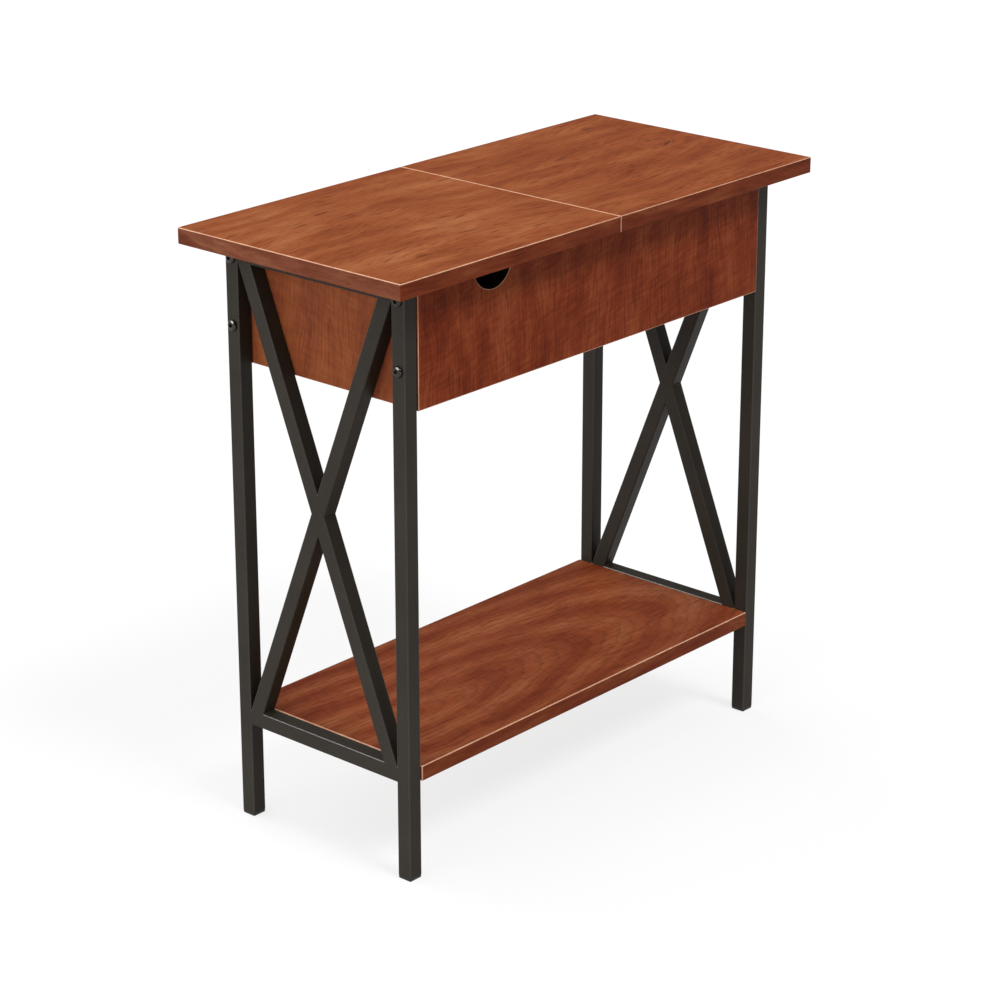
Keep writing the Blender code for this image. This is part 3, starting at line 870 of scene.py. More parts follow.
@dataclass
class LongPanel(Board):
    """Front or back panel of the storage box, with nut bores and, in front, a finger notch."""

    face: Face = Face.FRONT
    rim_depth: float = 0.35 * MM
    notch_radius: float = 26.5 * MM
    notch_rim: float = 0.6 * MM
    notch_steps: int = 48
    bore_radius: float = 5.3 * MM
    bore_depth: float = 13.4 * MM
    bore_steps: int = 32
    overcut: float = 1.0 * MM

    # A face is the notch's wall if it lies no further than this past the notch's radius, and if its
    # normal leans no more than this towards Y.
    WALL_SLACK, WALL_LEAN = 0.5 * MM, 0.05

    @property
    def notch_centre(self) -> Vector:
        """Give the middle of the notch, under the middle of the lid."""
        return Vector((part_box("lid_panel")[0].x / 2.0, 0.0, self.corners()[1].z))

    def outline(self, ease_in: float, radius: float) -> list[Point]:
        """Give the panel's outline in X and Z, with the half-moon notch in its top edge.

        Args:
            ease_in: distance that the outline is drawn in from the panel's edges.
            radius: radius of the notch.

        Returns:
            The points around the panel.
        """
        low, high = self.corners()
        left, right = low.x + ease_in, high.x - ease_in
        bottom, top = low.z + ease_in, high.z - ease_in
        points = [(left, bottom), (right, bottom), (right, top)]
        if self.face is Face.FRONT:
            centre = self.notch_centre
            start = math.asin(ease_in / radius)
            for step in range(self.notch_steps + 1):
                angle = start + (math.pi - 2.0 * start) * step / self.notch_steps
                x, drop = radius * math.cos(angle), radius * math.sin(angle)
                points.append((centre.x + x, centre.z - drop))
        points.append((left, top))
        return points

    def shape(self, bm: Shape) -> None:
        """Add the panel from its outline, with a shallow eased rim around both broad faces.

        Args:
            bm: geometry to add to.
        """
        low, high = self.corners()
        plain = self.outline(0.0, self.notch_radius)
        eased = self.outline(self.chamfer, self.notch_radius + self.notch_rim)
        levels = (
            (eased, low.y),
            (plain, low.y + self.rim_depth),
            (plain, high.y - self.rim_depth),
            (eased, high.y),
        )
        add_skin(bm, [[bm.verts.new((x, y, z)) for x, z in points] for points, y in levels])

    def number(self, face: bmesh.types.BMFace) -> int:
        """Choose the material number of a face, with the notch wall painted near black as shade.

        Args:
            face: a face of the panel.

        Returns:
            Number of its finish.
        """
        away = face.calc_center_median() - self.notch_centre
        in_notch = math.hypot(away.x, away.z) < self.notch_radius + self.WALL_SLACK
        wall = in_notch and abs(face.normal.y) < self.WALL_LEAN
        # The notch's wall takes the near-black finish, which is painted shade.
        return self.STAIN if wall else super().number(face)

    def drill(self, piece: Piece) -> None:
        """Cut the bores of the barrel nuts into the panel, from inside the box.

        Args:
            piece: the panel.
        """
        low, high = self.corners()
        inside = high.y if self.face is Face.FRONT else low.y
        outward = Y_AXIS * self.face.value
        rings = [(self.bore_radius, depth) for depth in (0.0, self.bore_depth + self.overcut)]
        bm = bmesh.new()
        for end in End:
            for level in LEVELS:
                middle = middle_of(f"{end.word}_{self.face.word}_{level}_barrel_nut")
                start = Vector((middle.x, inside, middle.z)) - outward * self.overcut
                for wall in add_turned(bm, facing(outward, start), rings, self.bore_steps):
                    wall.material_index = self.CORE
        bores = new_piece(self.name + "_bores", bm, self.finishes())
        cut = piece.modifiers.new("nut_bores", "BOOLEAN")
        cut.object = bores
        cut.solver = "EXACT"
        shown = piece.evaluated_get(bpy.context.evaluated_depsgraph_get())
        drilled = bpy.data.meshes.new_from_object(shown)
        piece.modifiers.clear()
        piece.data = drilled
        bpy.data.objects.remove(bores, do_unlink=True)


@dataclass
class Tube:
    """A hollow square tube across X, with rounded corners, cut by a plane at each end."""

    name: str
    node: str
    origin: Vector
    along: Vector
    planes: tuple[tuple[Vector, Vector], tuple[Vector, Vector]]
    size: float
    wall: float = 1.2 * MM
    corner: float = 1.0 * MM
    inner_corner: float = 0.3 * MM
    corner_steps: int = 4

    FLAT, CORNER = range(2)
    # How far below the centre line the underside starts, as a share of the tube's size.
    UNDERSIDE = 0.1

    def section(self, inset: float) -> list[Point]:
        """Give the rounded square of the section, moved in by an inset.

        Args:
            inset: distance in from the outside of the tube.

        Returns:
            The points around the section.
        """
        half = self.size / 2.0 - inset
        radius = max(self.corner - inset, self.inner_corner)
        points = []
        for quarter in range(4):
            turn = QUARTER_TURN * quarter
            centre = Vector((half - radius, half - radius)).to_3d()
            centre.rotate(Matrix.Rotation(turn, 3, "Z"))
            for step in range(self.corner_steps + 1):
                angle = turn + QUARTER_TURN * step / self.corner_steps
                points.append(
                    (centre.x + radius * math.cos(angle), centre.y + radius * math.sin(angle))
                )
        return points

    def loop(self, bm: Shape, inset: float, plane: tuple[Vector, Vector]) -> list[Any]:
        """Add one end of the section, slid along the tube onto a cutting plane.

        Args:
            bm: geometry to add to.
            inset: distance in from the outside of the tube.
            plane: a point of the plane and its normal.

        Returns:
            The vertices around the end.
        """
        other = self.along.cross(X_AXIS).normalized()
        point, normal = plane
        verts = []
        for a, b in self.section(inset):
            base = self.origin + X_AXIS * a + other * b
            slide = (point - base).dot(normal) / self.along.dot(normal)
            verts.append(bm.verts.new(base + self.along * slide))
        return verts

    def looks_down(self, place: Vector) -> bool:
        """Tell whether a place on the outside of the tube lies on its underside."""
        out = place - self.origin
        return (out - self.along * out.dot(self.along)).z < -self.UNDERSIDE * self.size

    def add_to(self, bm: Shape) -> None:
        """Add the tube's outside, inside and end rings.

        Args:
            bm: geometry to add to.
        """
        outer = [self.loop(bm, 0.0, plane) for plane in self.planes]
        inner = [self.loop(bm, self.wall, plane) for plane in self.planes]
        points = self.corner_steps + 1
        # Corners facing up or sideways take the corner coat, darker as painted shade; corners
        # underneath keep the plain coat, so no glint line shows where they lie in shade.
        for step, side in enumerate(bridge(bm, *outer)):
            caught = (step + 1) % points > 0 and not self.looks_down(outer[0][step].co)
            side.material_index = self.CORNER if caught else self.FLAT
        for first, second in (inner, *zip(outer, inner)):
            bridge(bm, first, second)


@dataclass
class EndFrame:
    """One welded end frame: two legs, two rails and the X of braces."""

    end: End
    gap: float = 0.3 * MM
    tab_thickness: float = 2.0 * MM
    tab_half_width: float = 12.0 * MM
    tab_corner: float = 3.0 * MM
    tab_steps: int = 4
    weld: float = 1.1 * MM
    weld_end: float = 1.0 * MM
    weld_steps: int = 12
    weld_sides: int = 12

    # Ripple of a weld bead: its height as a share of the bead, its turn at each step, and the
    # least square of the bead's width at its ends.
    RIPPLE, RIPPLE_TURN, BEAD_LEAST = 0.12, 2.4, 0.05

    def node(self, part: str) -> str:
        """Give the name of one of the frame's nodes."""
        return f"{self.end.word}_{part}"

    @property
    def sunk(self) -> float:
        """Give how far a tube's end runs on, so that the welded joint is flush once ground."""
        return self.gap + Tube.corner

    @property
    def size(self) -> float:
        """Give the width of the tube, from a leg's node."""
        low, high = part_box(self.node("front_leg"))
        return high.x - low.x

    @property
    def leg_x(self) -> float:
        """Give the X of the legs' middle line."""
        return middle_of(self.node("front_leg")).x

    def lean(self, half_width: float, half_height: float) -> float:
        """Give the lean from upright of a tube that fills a box of these half sizes."""
        diagonal = math.hypot(half_width, half_height)
        return math.acos(self.size / 2.0 / diagonal) - math.atan2(half_height, half_width)

    def tube(self, part: str, origin: Vector, along: Vector, ends: Sequence[Any]) -> Tube:
        """Describe one tube of the frame, from its centre line and its two cutting planes."""
        node = self.node(part)
        return Tube(node + "_tube", node, origin, along, tuple(ends), self.size)

    def straight_tube(self, part: str, along: Vector) -> Tube:
        """Describe a leg or rail that fills its node's box along one axis.

        Args:
            part: last words of the node's name.
            along: direction of the tube.

        Returns:
            The tube.
        """
        low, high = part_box(self.node(part))
        middle = (low + high) / 2.0
        sunk = along * self.sunk if part.endswith("rail") else Vector()
        if part == "lower_rail":
            middle.x = self.leg_x
            middle.z = high.z - self.size / 2.0
        return self.tube(part, middle, along, ((low - sunk, along), (high + sunk, along)))

    def brace_tubes(self) -> list[Tube]:
        """Describe the long brace, and the two half braces that are cut to fit its sides.

        Returns:
            The three tubes.
        """
        low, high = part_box(self.node("long_brace"))
        middle = (low + high) / 2.0
        lean = self.lean((high.y - low.y) / 2.0, (high.z - low.z) / 2.0)
        rising_back = Vector((0.0, math.sin(lean), math.cos(lean)))
        rising_front = Vector((0.0, -math.sin(lean), math.cos(lean)))
        beside = X_AXIS.cross(rising_back).normalized()
        floor_cut = (low - Z_AXIS * self.sunk, Z_AXIS)
        roof_cut = (high + Z_AXIS * self.sunk, Z_AXIS)
        reach = self.size / 2.0 + self.gap - self.sunk
        upper_side = beside if beside.dot(rising_front) > 0.0 else -beside
        upper_cut = (middle + upper_side * reach, upper_side)
        lower_cut = (middle - upper_side * reach, upper_side)
        return [
            self.tube("long_brace", middle, rising_back, (floor_cut, roof_cut)),
            self.tube("upper_half_brace", middle, rising_front, (upper_cut, roof_cut)),
            self.tube("lower_half_brace", middle, rising_front, (floor_cut, lower_cut)),
        ]

    def add_tabs(self, bm: Shape) -> None:
        """Add the two shelf tabs welded under the lower rail, with their corners eased.

        Args:
            bm: geometry to add to.
        """
        low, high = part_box(self.node("lower_rail"))
        inner = low.x if self.end is End.RIGHT else high.x
        top = low.z + self.tab_thickness + self.gap
        for face in Face:
            y = middle_of(self.node(f"{face.word}_shelf_screw")).y
            front, back = y - self.tab_half_width, y + self.tab_half_width
            verts = add_box(bm, (inner, front, low.z), (self.leg_x, back, top))
            ease(bm, upright_of(verts), self.tab_corner, self.tab_steps)

    def weld_places(self) -> list[Point]:
        """Give the Y and Z of each inside corner where two tubes are welded.

        Returns:
            The places.
        """
        low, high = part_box(self.node("long_brace"))
        rail_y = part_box(self.node("upper_rail"))[1].y
        roof, floor = high.z + self.gap, low.z - self.gap
        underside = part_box(self.node("lower_rail"))[0].z + self.tab_thickness + self.gap
        middle_z = (roof + floor) / 2.0
        lean = self.lean(high.y, (roof - floor) / 2.0)
        foot = self.size / math.cos(lean)
        places = []
        for sign in (-1.0, 1.0):
            places += [
                (sign * (rail_y - foot), floor),
                (sign * (rail_y - foot), roof),
                (sign * rail_y, underside),
                (sign * self.size / 2.0 / math.cos(lean), middle_z),
                (0.0, middle_z + sign * self.size / 2.0 / math.sin(lean)),
            ]
        return places

    def build_welds(self) -> Piece:
        """Build the weld beads across the inside corners of the frame.

        Returns:
            The beads, as one piece.
        """
        half = self.size / 2.0 - self.weld_end
        rings = []
        for step in range(self.weld_steps + 1):
            share = 2.0 * step / self.weld_steps - 1.0
            ripple = 1.0 + self.RIPPLE * math.sin(step * self.RIPPLE_TURN)
            swell = math.sqrt(max(1.0 - share**4, self.BEAD_LEAST)) * ripple
            rings.append((self.weld * swell, half * share))
        bm = bmesh.new()
        for y, z in self.weld_places():
            add_turned(bm, facing(X_AXIS, (self.leg_x, y, z)), rings, self.weld_sides)
        piece = soften(new_piece(self.node("frame_welds"), bm, (POWDER_COAT,)), BEAD_ANGLE)
        return settle(piece, Body.TABLE, "powder_coat")

    def build(self) -> None:
        """Build, dress and settle every tube of the frame, and its welds."""
        tubes = [self.straight_tube(f"{face.word}_leg", Z_AXIS) for face in Face]
        tubes += [self.straight_tube(part, Y_AXIS) for part in ("upper_rail", "lower_rail")]
        for tube in tubes + self.brace_tubes():
            bm = bmesh.new()
            tube.add_to(bm)
            if tube.node.endswith("lower_rail"):
                self.add_tabs(bm)
            piece = soften(new_piece(tube.name, bm, (POWDER_COAT, CORNER_COAT_AND_PAINTED_SHADE)))
            settle(piece, Body.TABLE, "powder_coat", tube.node)
        self.build_welds()


@dataclass
class FrameBolt:
    """A button head bolt through a leg, with a hexagon socket."""

    node: str
    end: End
    crown_steps: int = 8
    socket: float = 2.0 * MM
    socket_depth: float = 1.9 * MM
    socket_point: float = 0.5 * MM
    socket_lip: float = 0.12 * MM
    shank: float = 3.0 * MM
    tip: float = 0.8 * MM
    rim: float = 0.15 * MM
    seat_gap: float = 0.05 * MM

    # Radius of the socket's point and of the flat around it, as shares of the socket, and height
    # at which the crown meets the rim, as a share of the crown.
    POINT, FLAT, SHOULDER = 0.3, 1.3, 0.32

    def build(self) -> None:
        """Build, dress and settle the bolt."""
        low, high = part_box(self.node)
        radius = (high.z - low.z) / 2.0
        centre = (low + high) / 2.0
        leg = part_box(self.node.rsplit("_", 2)[0] + "_leg")
        on_left = self.end is End.LEFT
        seat = (leg[0].x if on_left else leg[1].x) + self.end.value * self.seat_gap
        crown = abs((low.x if on_left else high.x) - seat)
        length = high.x - low.x - crown
        flat = self.socket * self.FLAT
        shoulder = crown * self.SHOULDER
        rings: list[tuple[Any, ...]] = [
            (self.socket * self.POINT, crown - self.socket_depth - self.socket_point),
            (self.socket, crown - self.socket_depth, Outline.HEXAGON),
            (self.socket, crown - self.socket_lip, Outline.HEXAGON),
            (self.socket + self.socket_lip, crown, Outline.HEXAGON),
            (flat, crown),
        ]
        for step in range(1, self.crown_steps + 1):
            angle = QUARTER_TURN * step / self.crown_steps
            reach = flat + (radius - flat) * math.sin(angle)
            rings.append((reach, shoulder + (crown - shoulder) * math.cos(angle)))
        rings += [
            (radius, self.rim),
            (radius - self.rim, 0.0),
            (self.shank, 0.0),
            (self.shank, self.tip - length),
            (self.shank - self.tip, -length),
        ]
        bm = bmesh.new()
        add_turned(bm, facing(X_AXIS * self.end.value, (seat, centre.y, centre.z)), rings)
        piece = soften(new_piece(self.node + "_button_head", bm, (BLACK_NICKEL,)), METAL_ANGLE)
        settle(piece, Body.TABLE, "black_nickel", self.node)


@dataclass
class FootGlide:
    """A moulded plug with a rounded foot under a leg."""

    node: str
    rounding: float = 1.2 * MM
    rounding_steps: int = 3
    corner: float = 1.6 * MM
    corner_steps: int = 4
    inset: float = 1.6 * MM
    seat_gap: float = 0.05 * MM
    overlap: float = 0.2 * MM

    # Height above the floor under which an edge belongs to the foot's rim.
    RIM_SLACK = 0.1 * MM

    def build(self) -> None:
        """Build, dress and settle the glide."""
        low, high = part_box(self.node)
        foot_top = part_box(self.node.replace("glide", "leg"))[0].z - self.seat_gap
        bm = bmesh.new()
        foot = add_box(bm, low, (high.x, high.y, foot_top))
        ease(bm, upright_of(foot), self.corner, self.corner_steps)
        rim = [e for e in bm.edges if all(v.co.z < low.z + self.RIM_SLACK for v in e.verts)]
        ease(bm, rim, self.rounding, self.rounding_steps)
        inset = Vector((self.inset, self.inset, 0.0))
        plug_low, plug_high = low + inset, high - inset
        plug_low.z = foot_top - self.overlap
        add_box(bm, plug_low, plug_high)
        piece = soften(new_piece(self.node + "_plug", bm, (BLACK_PLASTIC,)))
        settle(piece, Body.TABLE, "black_plastic", self.node)


@dataclass
class PanScrew:
    """A pan head screw with a cross recess, seen from its head."""

    at: Vector
    out: Vector
    head: float = 3.2 * MM
    height: float = 1.3 * MM
    sides: int = 64

    # Rings from the bottom of the recess over the head to a short shank behind it, as shares of
    # the head's radius and height.
    RINGS = (
        (0.1375, 0.2, Outline.CROSS),
        (0.495, 0.45, Outline.CROSS),
        (0.55, 1.0, Outline.CROSS),
        (0.62, 1.0),
        (0.85, 0.82),
        (0.97, 0.5),
        (1.0, 0.2),
        (1.0, 0.0),
        (0.5, 0.0),
        (0.5, -1.0),
    )

    def add_to(self, bm: Shape) -> None:
        """Add the screw's head, with its recess and a short shank behind it."""
        rings = [(self.head * wide, self.height * up, *shape) for wide, up, *shape in self.RINGS]
        add_turned(bm, facing(self.out, self.at), rings, self.sides)


def build_screws(name: str, body: Body, screws: Iterable[PanScrew], *nodes: str) -> None:
    """Build a group of screws as one piece.

    Args:
        name: name of the piece.
        body: body that carries them.
        screws: the screws.
        nodes: nodes that they stand for.
    """
    bm = bmesh.new()
    for screw in screws:
        screw.add_to(bm)
    settle(soften(new_piece(name, bm, (ZINC_PLATE,)), METAL_ANGLE), body, "zinc_plate", *nodes)


@dataclass
class ButtHinge:
    """One butt hinge behind the lid: a leaf on the back panel, a leaf under the lid and a pin."""

    end: End
    leaf: float = 1.2 * MM
    knuckle: float = 2.8 * MM
    knuckle_ease: float = 0.25 * MM
    bore: float = 1.46 * MM
    gap: float = 0.3 * MM
    setback: float = 0.1 * MM
    corner: float = 3.0 * MM
    corner_steps: int = 5
    screw_spacing: float = 24.0 * MM
    screw_head: float = 2.6 * MM
    screw_height: float = 0.5 * MM
    peen: float = 0.5 * MM

    # Radius of a peened pin end as a share of the pin, and points around a knuckle and the pin.
    PEENED, KNUCKLE_SIDES, PIN_SIDES = 0.6, 40, 32

    def node(self, part: str) -> str:
        """Give the name of one of the hinge's nodes."""
        return f"{self.end.word}_hinge_{part}"

    def add_knuckle(self, bm: Shape, low: float, high: float) -> None:
        """Add one rolled knuckle between two places along the pin.

        Args:
            bm: geometry to add to.
            low: where it starts.
            high: where it ends.
        """
        at = middle_of(self.node("pin"))
        at.x = (low + high) / 2.0
        edge = self.knuckle - self.knuckle_ease
        half = (high - low) / 2.0
        straight = half - self.knuckle_ease
        rings = [
            (self.bore, -half),
            (edge, -half),
            (self.knuckle, -straight),
            (self.knuckle, straight),
            (edge, half),
            (self.bore, half),
        ]
        add_turned(bm, facing(X_AXIS, at), rings, self.KNUCKLE_SIDES)

    def build_leaf(self, part: str, body: Body, spans: Iterable[Point]) -> None:
        """Build one leaf with its knuckles, and its two screws.

        Args:
            part: last words of the leaf's node.
            body: body that carries it.
            spans: where its knuckles start and end along the pin.
        """
        low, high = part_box(self.node(part))
        pin = middle_of(self.node("pin"))
        on_lid = body is Body.LID
        away, board = (Y_AXIS, Z_AXIS) if on_lid else (-Z_AXIS, -Y_AXIS)
        far = high.y - pin.y if on_lid else pin.z - low.z

        def at(x: float, reach: float, level: float) -> Vector:
            """Give the place at an X, a reach from the pin and a level towards the board."""
            return Vector((x, pin.y, pin.z)) + away * reach + board * level

        outside = self.knuckle - self.setback
        inside = outside - self.leaf
        near = self.knuckle + self.gap
        start = near - self.setback
        middle = (start + far) / 2.0
        bm = bmesh.new()
        for first, last in spans:
            self.add_knuckle(bm, first, last)
            add_box(bm, at(first, 0.0, inside), at(last, near, outside))
        plate = add_box(bm, at(low.x, start, inside), at(high.x, far, outside))
        distant = edges_of(v for v in plate if (v.co - pin).dot(away) > middle)
        thick = self.leaf / 2.0
        rounded = [e for e in distant if abs((e.verts[0].co - e.verts[1].co).dot(board)) > thick]
        ease(bm, rounded, self.corner, self.corner_steps)
        piece = soften(new_piece(self.node(part) + "_plate", bm, (ZINC_PLATE,)), METAL_ANGLE)
        settle(piece, body, "zinc_plate", self.node(part))

        centre = (low.x + high.x) / 2.0
        half = self.screw_spacing / 2.0
        screws = [
            PanScrew(at(x, middle, inside), -board, self.screw_head, self.screw_height)
            for x in (centre - half, centre + half)
        ]
        build_screws(self.node(part) + "_screws", body, screws)

    def build_pin(self) -> None:
        """Build the pin, with its ends peened over slightly."""
        low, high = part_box(self.node("pin"))
        radius = (high.z - low.z) / 2.0
        half = (high.x - low.x) / 2.0
        rings = [
            (radius * self.PEENED, -half),
            (radius, self.peen - half),
            (radius, half - self.peen),
            (radius * self.PEENED, half),
        ]
        bm = bmesh.new()
        add_turned(bm, facing(X_AXIS, (low + high) / 2.0), rings, self.PIN_SIDES)
        piece = soften(new_piece(self.node("pin") + "_rod", bm, (ZINC_PLATE,)), METAL_ANGLE)
        settle(piece, Body.TABLE, "zinc_plate", self.node("pin"))

    def build(self) -> None:
        """Build both leaves and the pin."""
        low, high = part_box(self.node("pin"))
        pitch = (high.x - low.x) / 3.0
        slack = self.gap / 2.0
        first, second = low.x + pitch, high.x - pitch
        self.build_leaf("box_leaf", Body.TABLE, ((low.x, first - slack), (second + slack, high.x)))
        self.build_leaf("lid_leaf", Body.LID, ((first + slack, second - slack),))
        self.build_pin()


@dataclass
class AngleBracket:
    """A bent steel bracket between the fixed half of the top and a long panel."""

    node: str
    face: Face
    thickness: float = 1.5 * MM
    bend: float = 3.0 * MM
    bend_steps: int = 6

    # Place of each screw along its leg of the bracket, from the bend.
    SCREW_PLACE = 0.62

    def profile(self) -> list[Point]:
        """Give the bracket's section: distance in from the panel, and height.

        Returns:
            The points around the section.
        """
        low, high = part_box(self.node)
        reach, drop = high.y - low.y, high.z - low.z
        turns = [QUARTER_TURN * step / self.bend_steps for step in range(self.bend_steps + 1)]
        outer, inner = (
            [(self.bend - r * math.sin(turn), r * math.cos(turn) - self.bend) for turn in turns]
            for r in (self.bend, self.bend - self.thickness)
        )
        foot = [(0.0, -drop), (self.thickness, -drop)]
        return [(reach, 0.0), *outer, *foot, *reversed(inner), (reach, -self.thickness)]

    def build(self) -> None:
        """Build, dress and settle the bracket and its two screws."""
        low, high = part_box(self.node)
        inward = -self.face.value
        wall = high.y if self.face is Face.BACK else low.y
        profile = [(wall + inward * depth, high.z + height) for depth, height in self.profile()]
        bm = bmesh.new()
        add_skin(bm, [[bm.verts.new((x, y, z)) for y, z in profile] for x in (low.x, high.x)])
        piece = soften(new_piece(self.node + "_strip", bm, (ZINC_PLATE,)), BEND_ANGLE)
        settle(piece, Body.TABLE, "zinc_plate", self.node)
        x = (low.x + high.x) / 2.0
        middle_y = wall + inward * self.SCREW_PLACE * (high.y - low.y)
        middle_z = high.z - self.SCREW_PLACE * (high.z - low.z)
        under = Vector((x, middle_y, high.z - self.thickness))
        beside = Vector((x, wall + inward * self.thickness, middle_z))
        screws = (PanScrew(under, -Z_AXIS), PanScrew(beside, Y_AXIS * inward))
        build_screws(self.node + "_screws", Body.TABLE, screws)


@dataclass
class BarrelNut:
    """A slotted barrel nut, pressed into its bore in a long panel."""

    node: str
    face: Face
    ease: float = 0.5 * MM
    slot_depth: float = 1.6 * MM
    sides: int = 64

    # Reach of the slot, as a share of the nut's radius.
    SLOT = 0.8

    def build(self) -> None:
        """Build, dress and settle the nut, with its slot towards the inside of the box."""
        low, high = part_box(self.node)
        radius, half = (high.x - low.x) / 2.0, (high.y - low.y) / 2.0
        rings = [
            (self.SLOT * radius, half - self.slot_depth, Outline.SLOT),
            (self.SLOT * radius, half, Outline.SLOT),
            (radius - self.ease, half),
            (radius, half - self.ease),
            (radius, self.ease - half),
            (radius - self.ease, -half),
        ]
        bm = bmesh.new()
        add_turned(bm, facing(Y_AXIS * -self.face.value, (low + high) / 2.0), rings, self.sides)
        piece = soften(new_piece(self.node + "_slotted", bm, (ZINC_PLATE,)), METAL_ANGLE)
        settle(piece, Body.TABLE, "zinc_plate", self.node)


# Gap between a tucked-in board's edge and the face that it meets.
TUCK_GAP = 0.2 * MM


def build_boards() -> None:
    """Build the top, the storage box and the shelf."""
    tops = (
        ("lid_board", "lid_panel", Body.LID, LID_LAMINATE, (Z_AXIS, X_AXIS), 0.7),
        ("fixed_top_board", "fixed_top", Body.TABLE, FIXED_LAMINATE, (Z_AXIS, -X_AXIS), 0.55),
        ("shelf_board", "shelf", Body.TABLE, SHELF_LAMINATE, (Z_AXIS, X_AXIS, -X_AXIS), 0.85),
    )
    for name, node, body, laminate, pale, chamfer_mm in tops:
        Board(name, node, body, laminate, "cherry_top", Z_AXIS, pale, chamfer_mm * MM).build()
    for face in Face:
        LongPanel(
            f"{face.word}_panel_board",
            f"{face.word}_panel",
            Body.TABLE,
            LONG_PANEL_LAMINATE,
            "cherry_panel",
            Y_AXIS,
            (Y_AXIS * face.value,),
            face=face,
        ).build()
    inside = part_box("back_panel")[0].y
    for end in End:
        node = f"{end.word}_side_panel"
        Board(
            f"{end.word}_side_board",
            node,
            Body.TABLE,
            SIDE_PANEL_LAMINATE,
            "cherry_panel",
            X_AXIS,
            (X_AXIS * end.value,),
            tuck=Vector((0.0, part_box(node)[1].y - inside + TUCK_GAP, 0.0)),
        ).build()
    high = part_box("box_floor")[1]
    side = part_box("right_side_panel")[0].x
    Board(
        "box_floor_board",
        "box_floor",
        Body.TABLE,
        SHELF_LAMINATE,
        "cherry_panel",
        Z_AXIS,
        (),
        chamfer=0.4 * MM,
        tuck=Vector((high.x - side + TUCK_GAP, high.y - inside + TUCK_GAP, 0.0)),
    ).build()


def build_hardware() -> None:
    """Build the bolts, nuts, glides, screws, hinges and brackets."""
    head_height = 2.2 * MM
    for end in End:
        screws, nodes = [], []
        for face in Face:
            corner = f"{end.word}_{face.word}"
            FootGlide(f"{corner}_glide").build()
            AngleBracket(f"top_bracket_{face.word}_{end.word}", face).build()
            for level in LEVELS:
                FrameBolt(f"{corner}_{level}_bolt", end).build()
                BarrelNut(f"{corner}_{level}_barrel_nut", face).build()
            low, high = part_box(f"{corner}_shelf_screw")
            at = Vector(((low.x + high.x) / 2.0, (low.y + high.y) / 2.0, low.z + head_height))
            screws.append(PanScrew(at, -Z_AXIS, (high.x - low.x) / 2.0, head_height))
            nodes.append(f"{corner}_shelf_screw")
        build_screws(f"{end.word}_shelf_screw_heads", Body.TABLE, screws, *nodes)
        ButtHinge(end).build()


@dataclass(frozen=True)
class Lamp:
    """A soft lamp far from the table: its power, spread and lean about X and Y in degrees."""

    name: str
    power: float
    spread: float
    turn: Point
    lights: bool = True
    mirrors: bool = True

    def add(self) -> Piece:
        """Add the lamp to the scene.

        Returns:
            The lamp.
        """
        data = bpy.data.lights.new(self.name, "SUN")
        data.energy = self.power
        data.angle = math.radians(self.spread)
        lamp = bpy.data.objects.new(self.name, data)
        lamp.rotation_euler = (math.radians(self.turn[0]), math.radians(self.turn[1]), 0.0)
        lamp.visible_diffuse = self.lights
        lamp.visible_glossy = self.mirrors
        bpy.context.scene.collection.objects.link(lamp)
        return lamp


# The fill is kept out of the boards' sheen, so that no side shows them through a glare.
SOFT_LAMPS = (
    Lamp("key_lamp", 0.6, 50.0, (-10.0, -20.0)),
    Lamp("left_fill_lamp", 1.6, 50.0, (0.0, -78.0), mirrors=False),
    Lamp("front_lamp", 1.5, 18.0, (35.0, 0.0)),
    Lamp("back_lamp", 0.9, 50.0, (-50.0, 0.0)),
)
# A lamp that only mirrors: it puts glints on bolt heads and tube corners.
GLINT_LAMP = Lamp("glint_lamp", 9.0, 56.0, (-17.3, -51.4), lights=False)


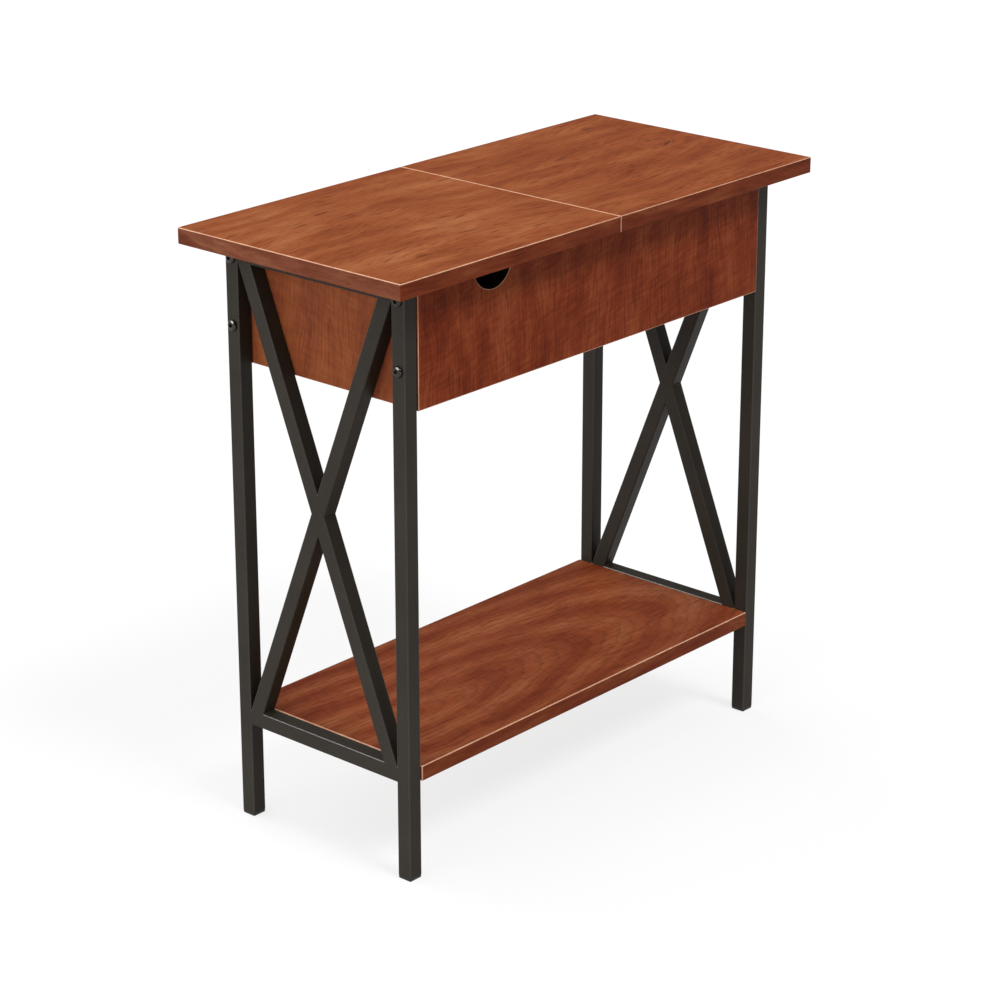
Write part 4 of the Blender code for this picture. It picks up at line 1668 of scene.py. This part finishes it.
@dataclass
class Studio:
    """Pale floor, soft light and the camera."""

    camera_place: tuple[float, float, float] = (-2.176, -1.912, 1.370)
    camera_azimuth: float = 48.55
    camera_elevation: float = 20.49
    camera_lens: float = 110.0
    floor_half: float = 30.0
    sky: Point = (0.10, 0.40)
    cove: Point = (0.08, 0.16)
    floor_glow: float = 0.78
    floor_shade: float = 0.22
    floor_bounce: float = 0.5
    glinting: bpy.types.Collection = field(
        default_factory=lambda: bpy.data.collections.new("glinting_metal")
    )

    def seen(self, tree: Tree) -> Socket:
        """Add the test for rays that show the background: from the camera, or mirrored.

        Args:
            tree: node tree of the floor's material or the world.

        Returns:
            One for such rays, and zero for the others.
        """
        ray = add_node(tree, "LightPath").outputs
        shown = ray["Is Camera Ray"]
        for kind in ("Is Glossy Ray", "Is Transmission Ray"):
            either = {0: shown, 1: ray[kind]}
            shown = add_node(tree, "Math", either, operation="MAXIMUM").outputs[0]
        return shown

    def add_floor(self) -> None:
        """Add the pale floor, which keeps a soft shadow under the table."""
        bm = bmesh.new()
        bmesh.ops.create_grid(bm, x_segments=1, y_segments=1, size=self.floor_half)
        mesh = bpy.data.meshes.new("studio_floor")
        bm.to_mesh(mesh)
        bm.free()
        floor = bpy.data.objects.new("studio_floor", mesh)
        bpy.context.scene.collection.objects.link(floor)
        material = bpy.data.materials.new("matt_white_floor")
        material.use_nodes = True
        tree = material.node_tree
        tree.nodes.clear()
        lit, dim = (
            add_node(tree, "BsdfDiffuse", {0: (grey, grey, grey, 1.0)}).outputs[0]
            for grey in (self.floor_shade, self.floor_bounce)
        )
        glow = add_node(tree, "Emission", {1: self.floor_glow}).outputs[0]
        shown = add_node(tree, "AddShader", {0: lit, 1: glow}).outputs[0]
        mixed = add_node(tree, "MixShader", {0: self.seen(tree), 1: dim, 2: shown}).outputs[0]
        add_node(tree, "OutputMaterial", {0: mixed})
        mesh.materials.append(material)

    def add_sky(self) -> None:
        """Add the soft sky, dim at the horizon, and the white cove seen beyond the floor."""
        world = bpy.data.worlds.new("studio_sky")
        world.use_nodes = True
        tree = world.node_tree
        place = add_node(tree, "TexCoord").outputs["Generated"]
        height = add_node(tree, "SeparateXYZ", {0: place}).outputs["Z"]
        dim, bright = self.sky
        sky = add_node(tree, "MapRange", {0: height, 1: 0.0, 2: 1.0, 3: dim, 4: bright}).outputs[0]
        low, high = self.cove
        cove = add_node(tree, "MapRange", {0: height, 1: low, 2: high, 3: 1.0, 4: 0.0}).outputs[0]
        terms = {0: cove, 1: self.seen(tree)}
        shown = add_node(tree, "Math", terms, operation="MULTIPLY").outputs[0]
        strength = add_node(tree, "Math", {0: sky, 1: shown}, operation="MAXIMUM").outputs[0]
        white = (1.0, 1.0, 1.0, 1.0)
        fill_inputs(tree, tree.nodes["Background"], {"Color": white, "Strength": strength})
        bpy.context.scene.world = world

    def add_camera(self) -> None:
        """Add the camera at the photograph's viewing angle."""
        data = bpy.data.cameras.new("camera")
        data.lens = self.camera_lens
        camera = bpy.data.objects.new("camera", data)
        camera.location = self.camera_place
        camera.rotation_euler = (
            math.radians(90.0 - self.camera_elevation),
            0.0,
            math.radians(-self.camera_azimuth),
        )
        bpy.context.scene.collection.objects.link(camera)
        bpy.context.scene.camera = camera

    def add_glints(self, finishes: Iterable[Finish]) -> None:
        """Let the glint lamp fall on the pieces that wear one of these finishes, and no others.

        Args:
            finishes: the finishes that glint.
        """
        names = {finish.name for finish in finishes}
        for piece in bpy.context.scene.objects:
            if names & {slot.name for slot in piece.material_slots}:
                self.glinting.objects.link(piece)

    def build(self) -> None:
        """Build the studio."""
        self.add_floor()
        self.add_sky()
        for lamp in SOFT_LAMPS:
            lamp.add()
        GLINT_LAMP.add().light_linking.receiver_collection = self.glinting
        self.add_camera()
        bpy.context.scene.view_settings.view_transform = "Standard"


def main() -> None:
    """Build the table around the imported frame."""
    logging.basicConfig(level=logging.INFO, format="%(message)s")
    for obj in list(bpy.data.objects):
        bpy.data.objects.remove(obj, do_unlink=True)
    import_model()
    studio = Studio()
    studio.build()
    build_boards()
    for end in End:
        EndFrame(end).build()
    build_hardware()
    studio.add_glints((POWDER_COAT, BLACK_NICKEL))


if __name__ == "__main__":
    main()
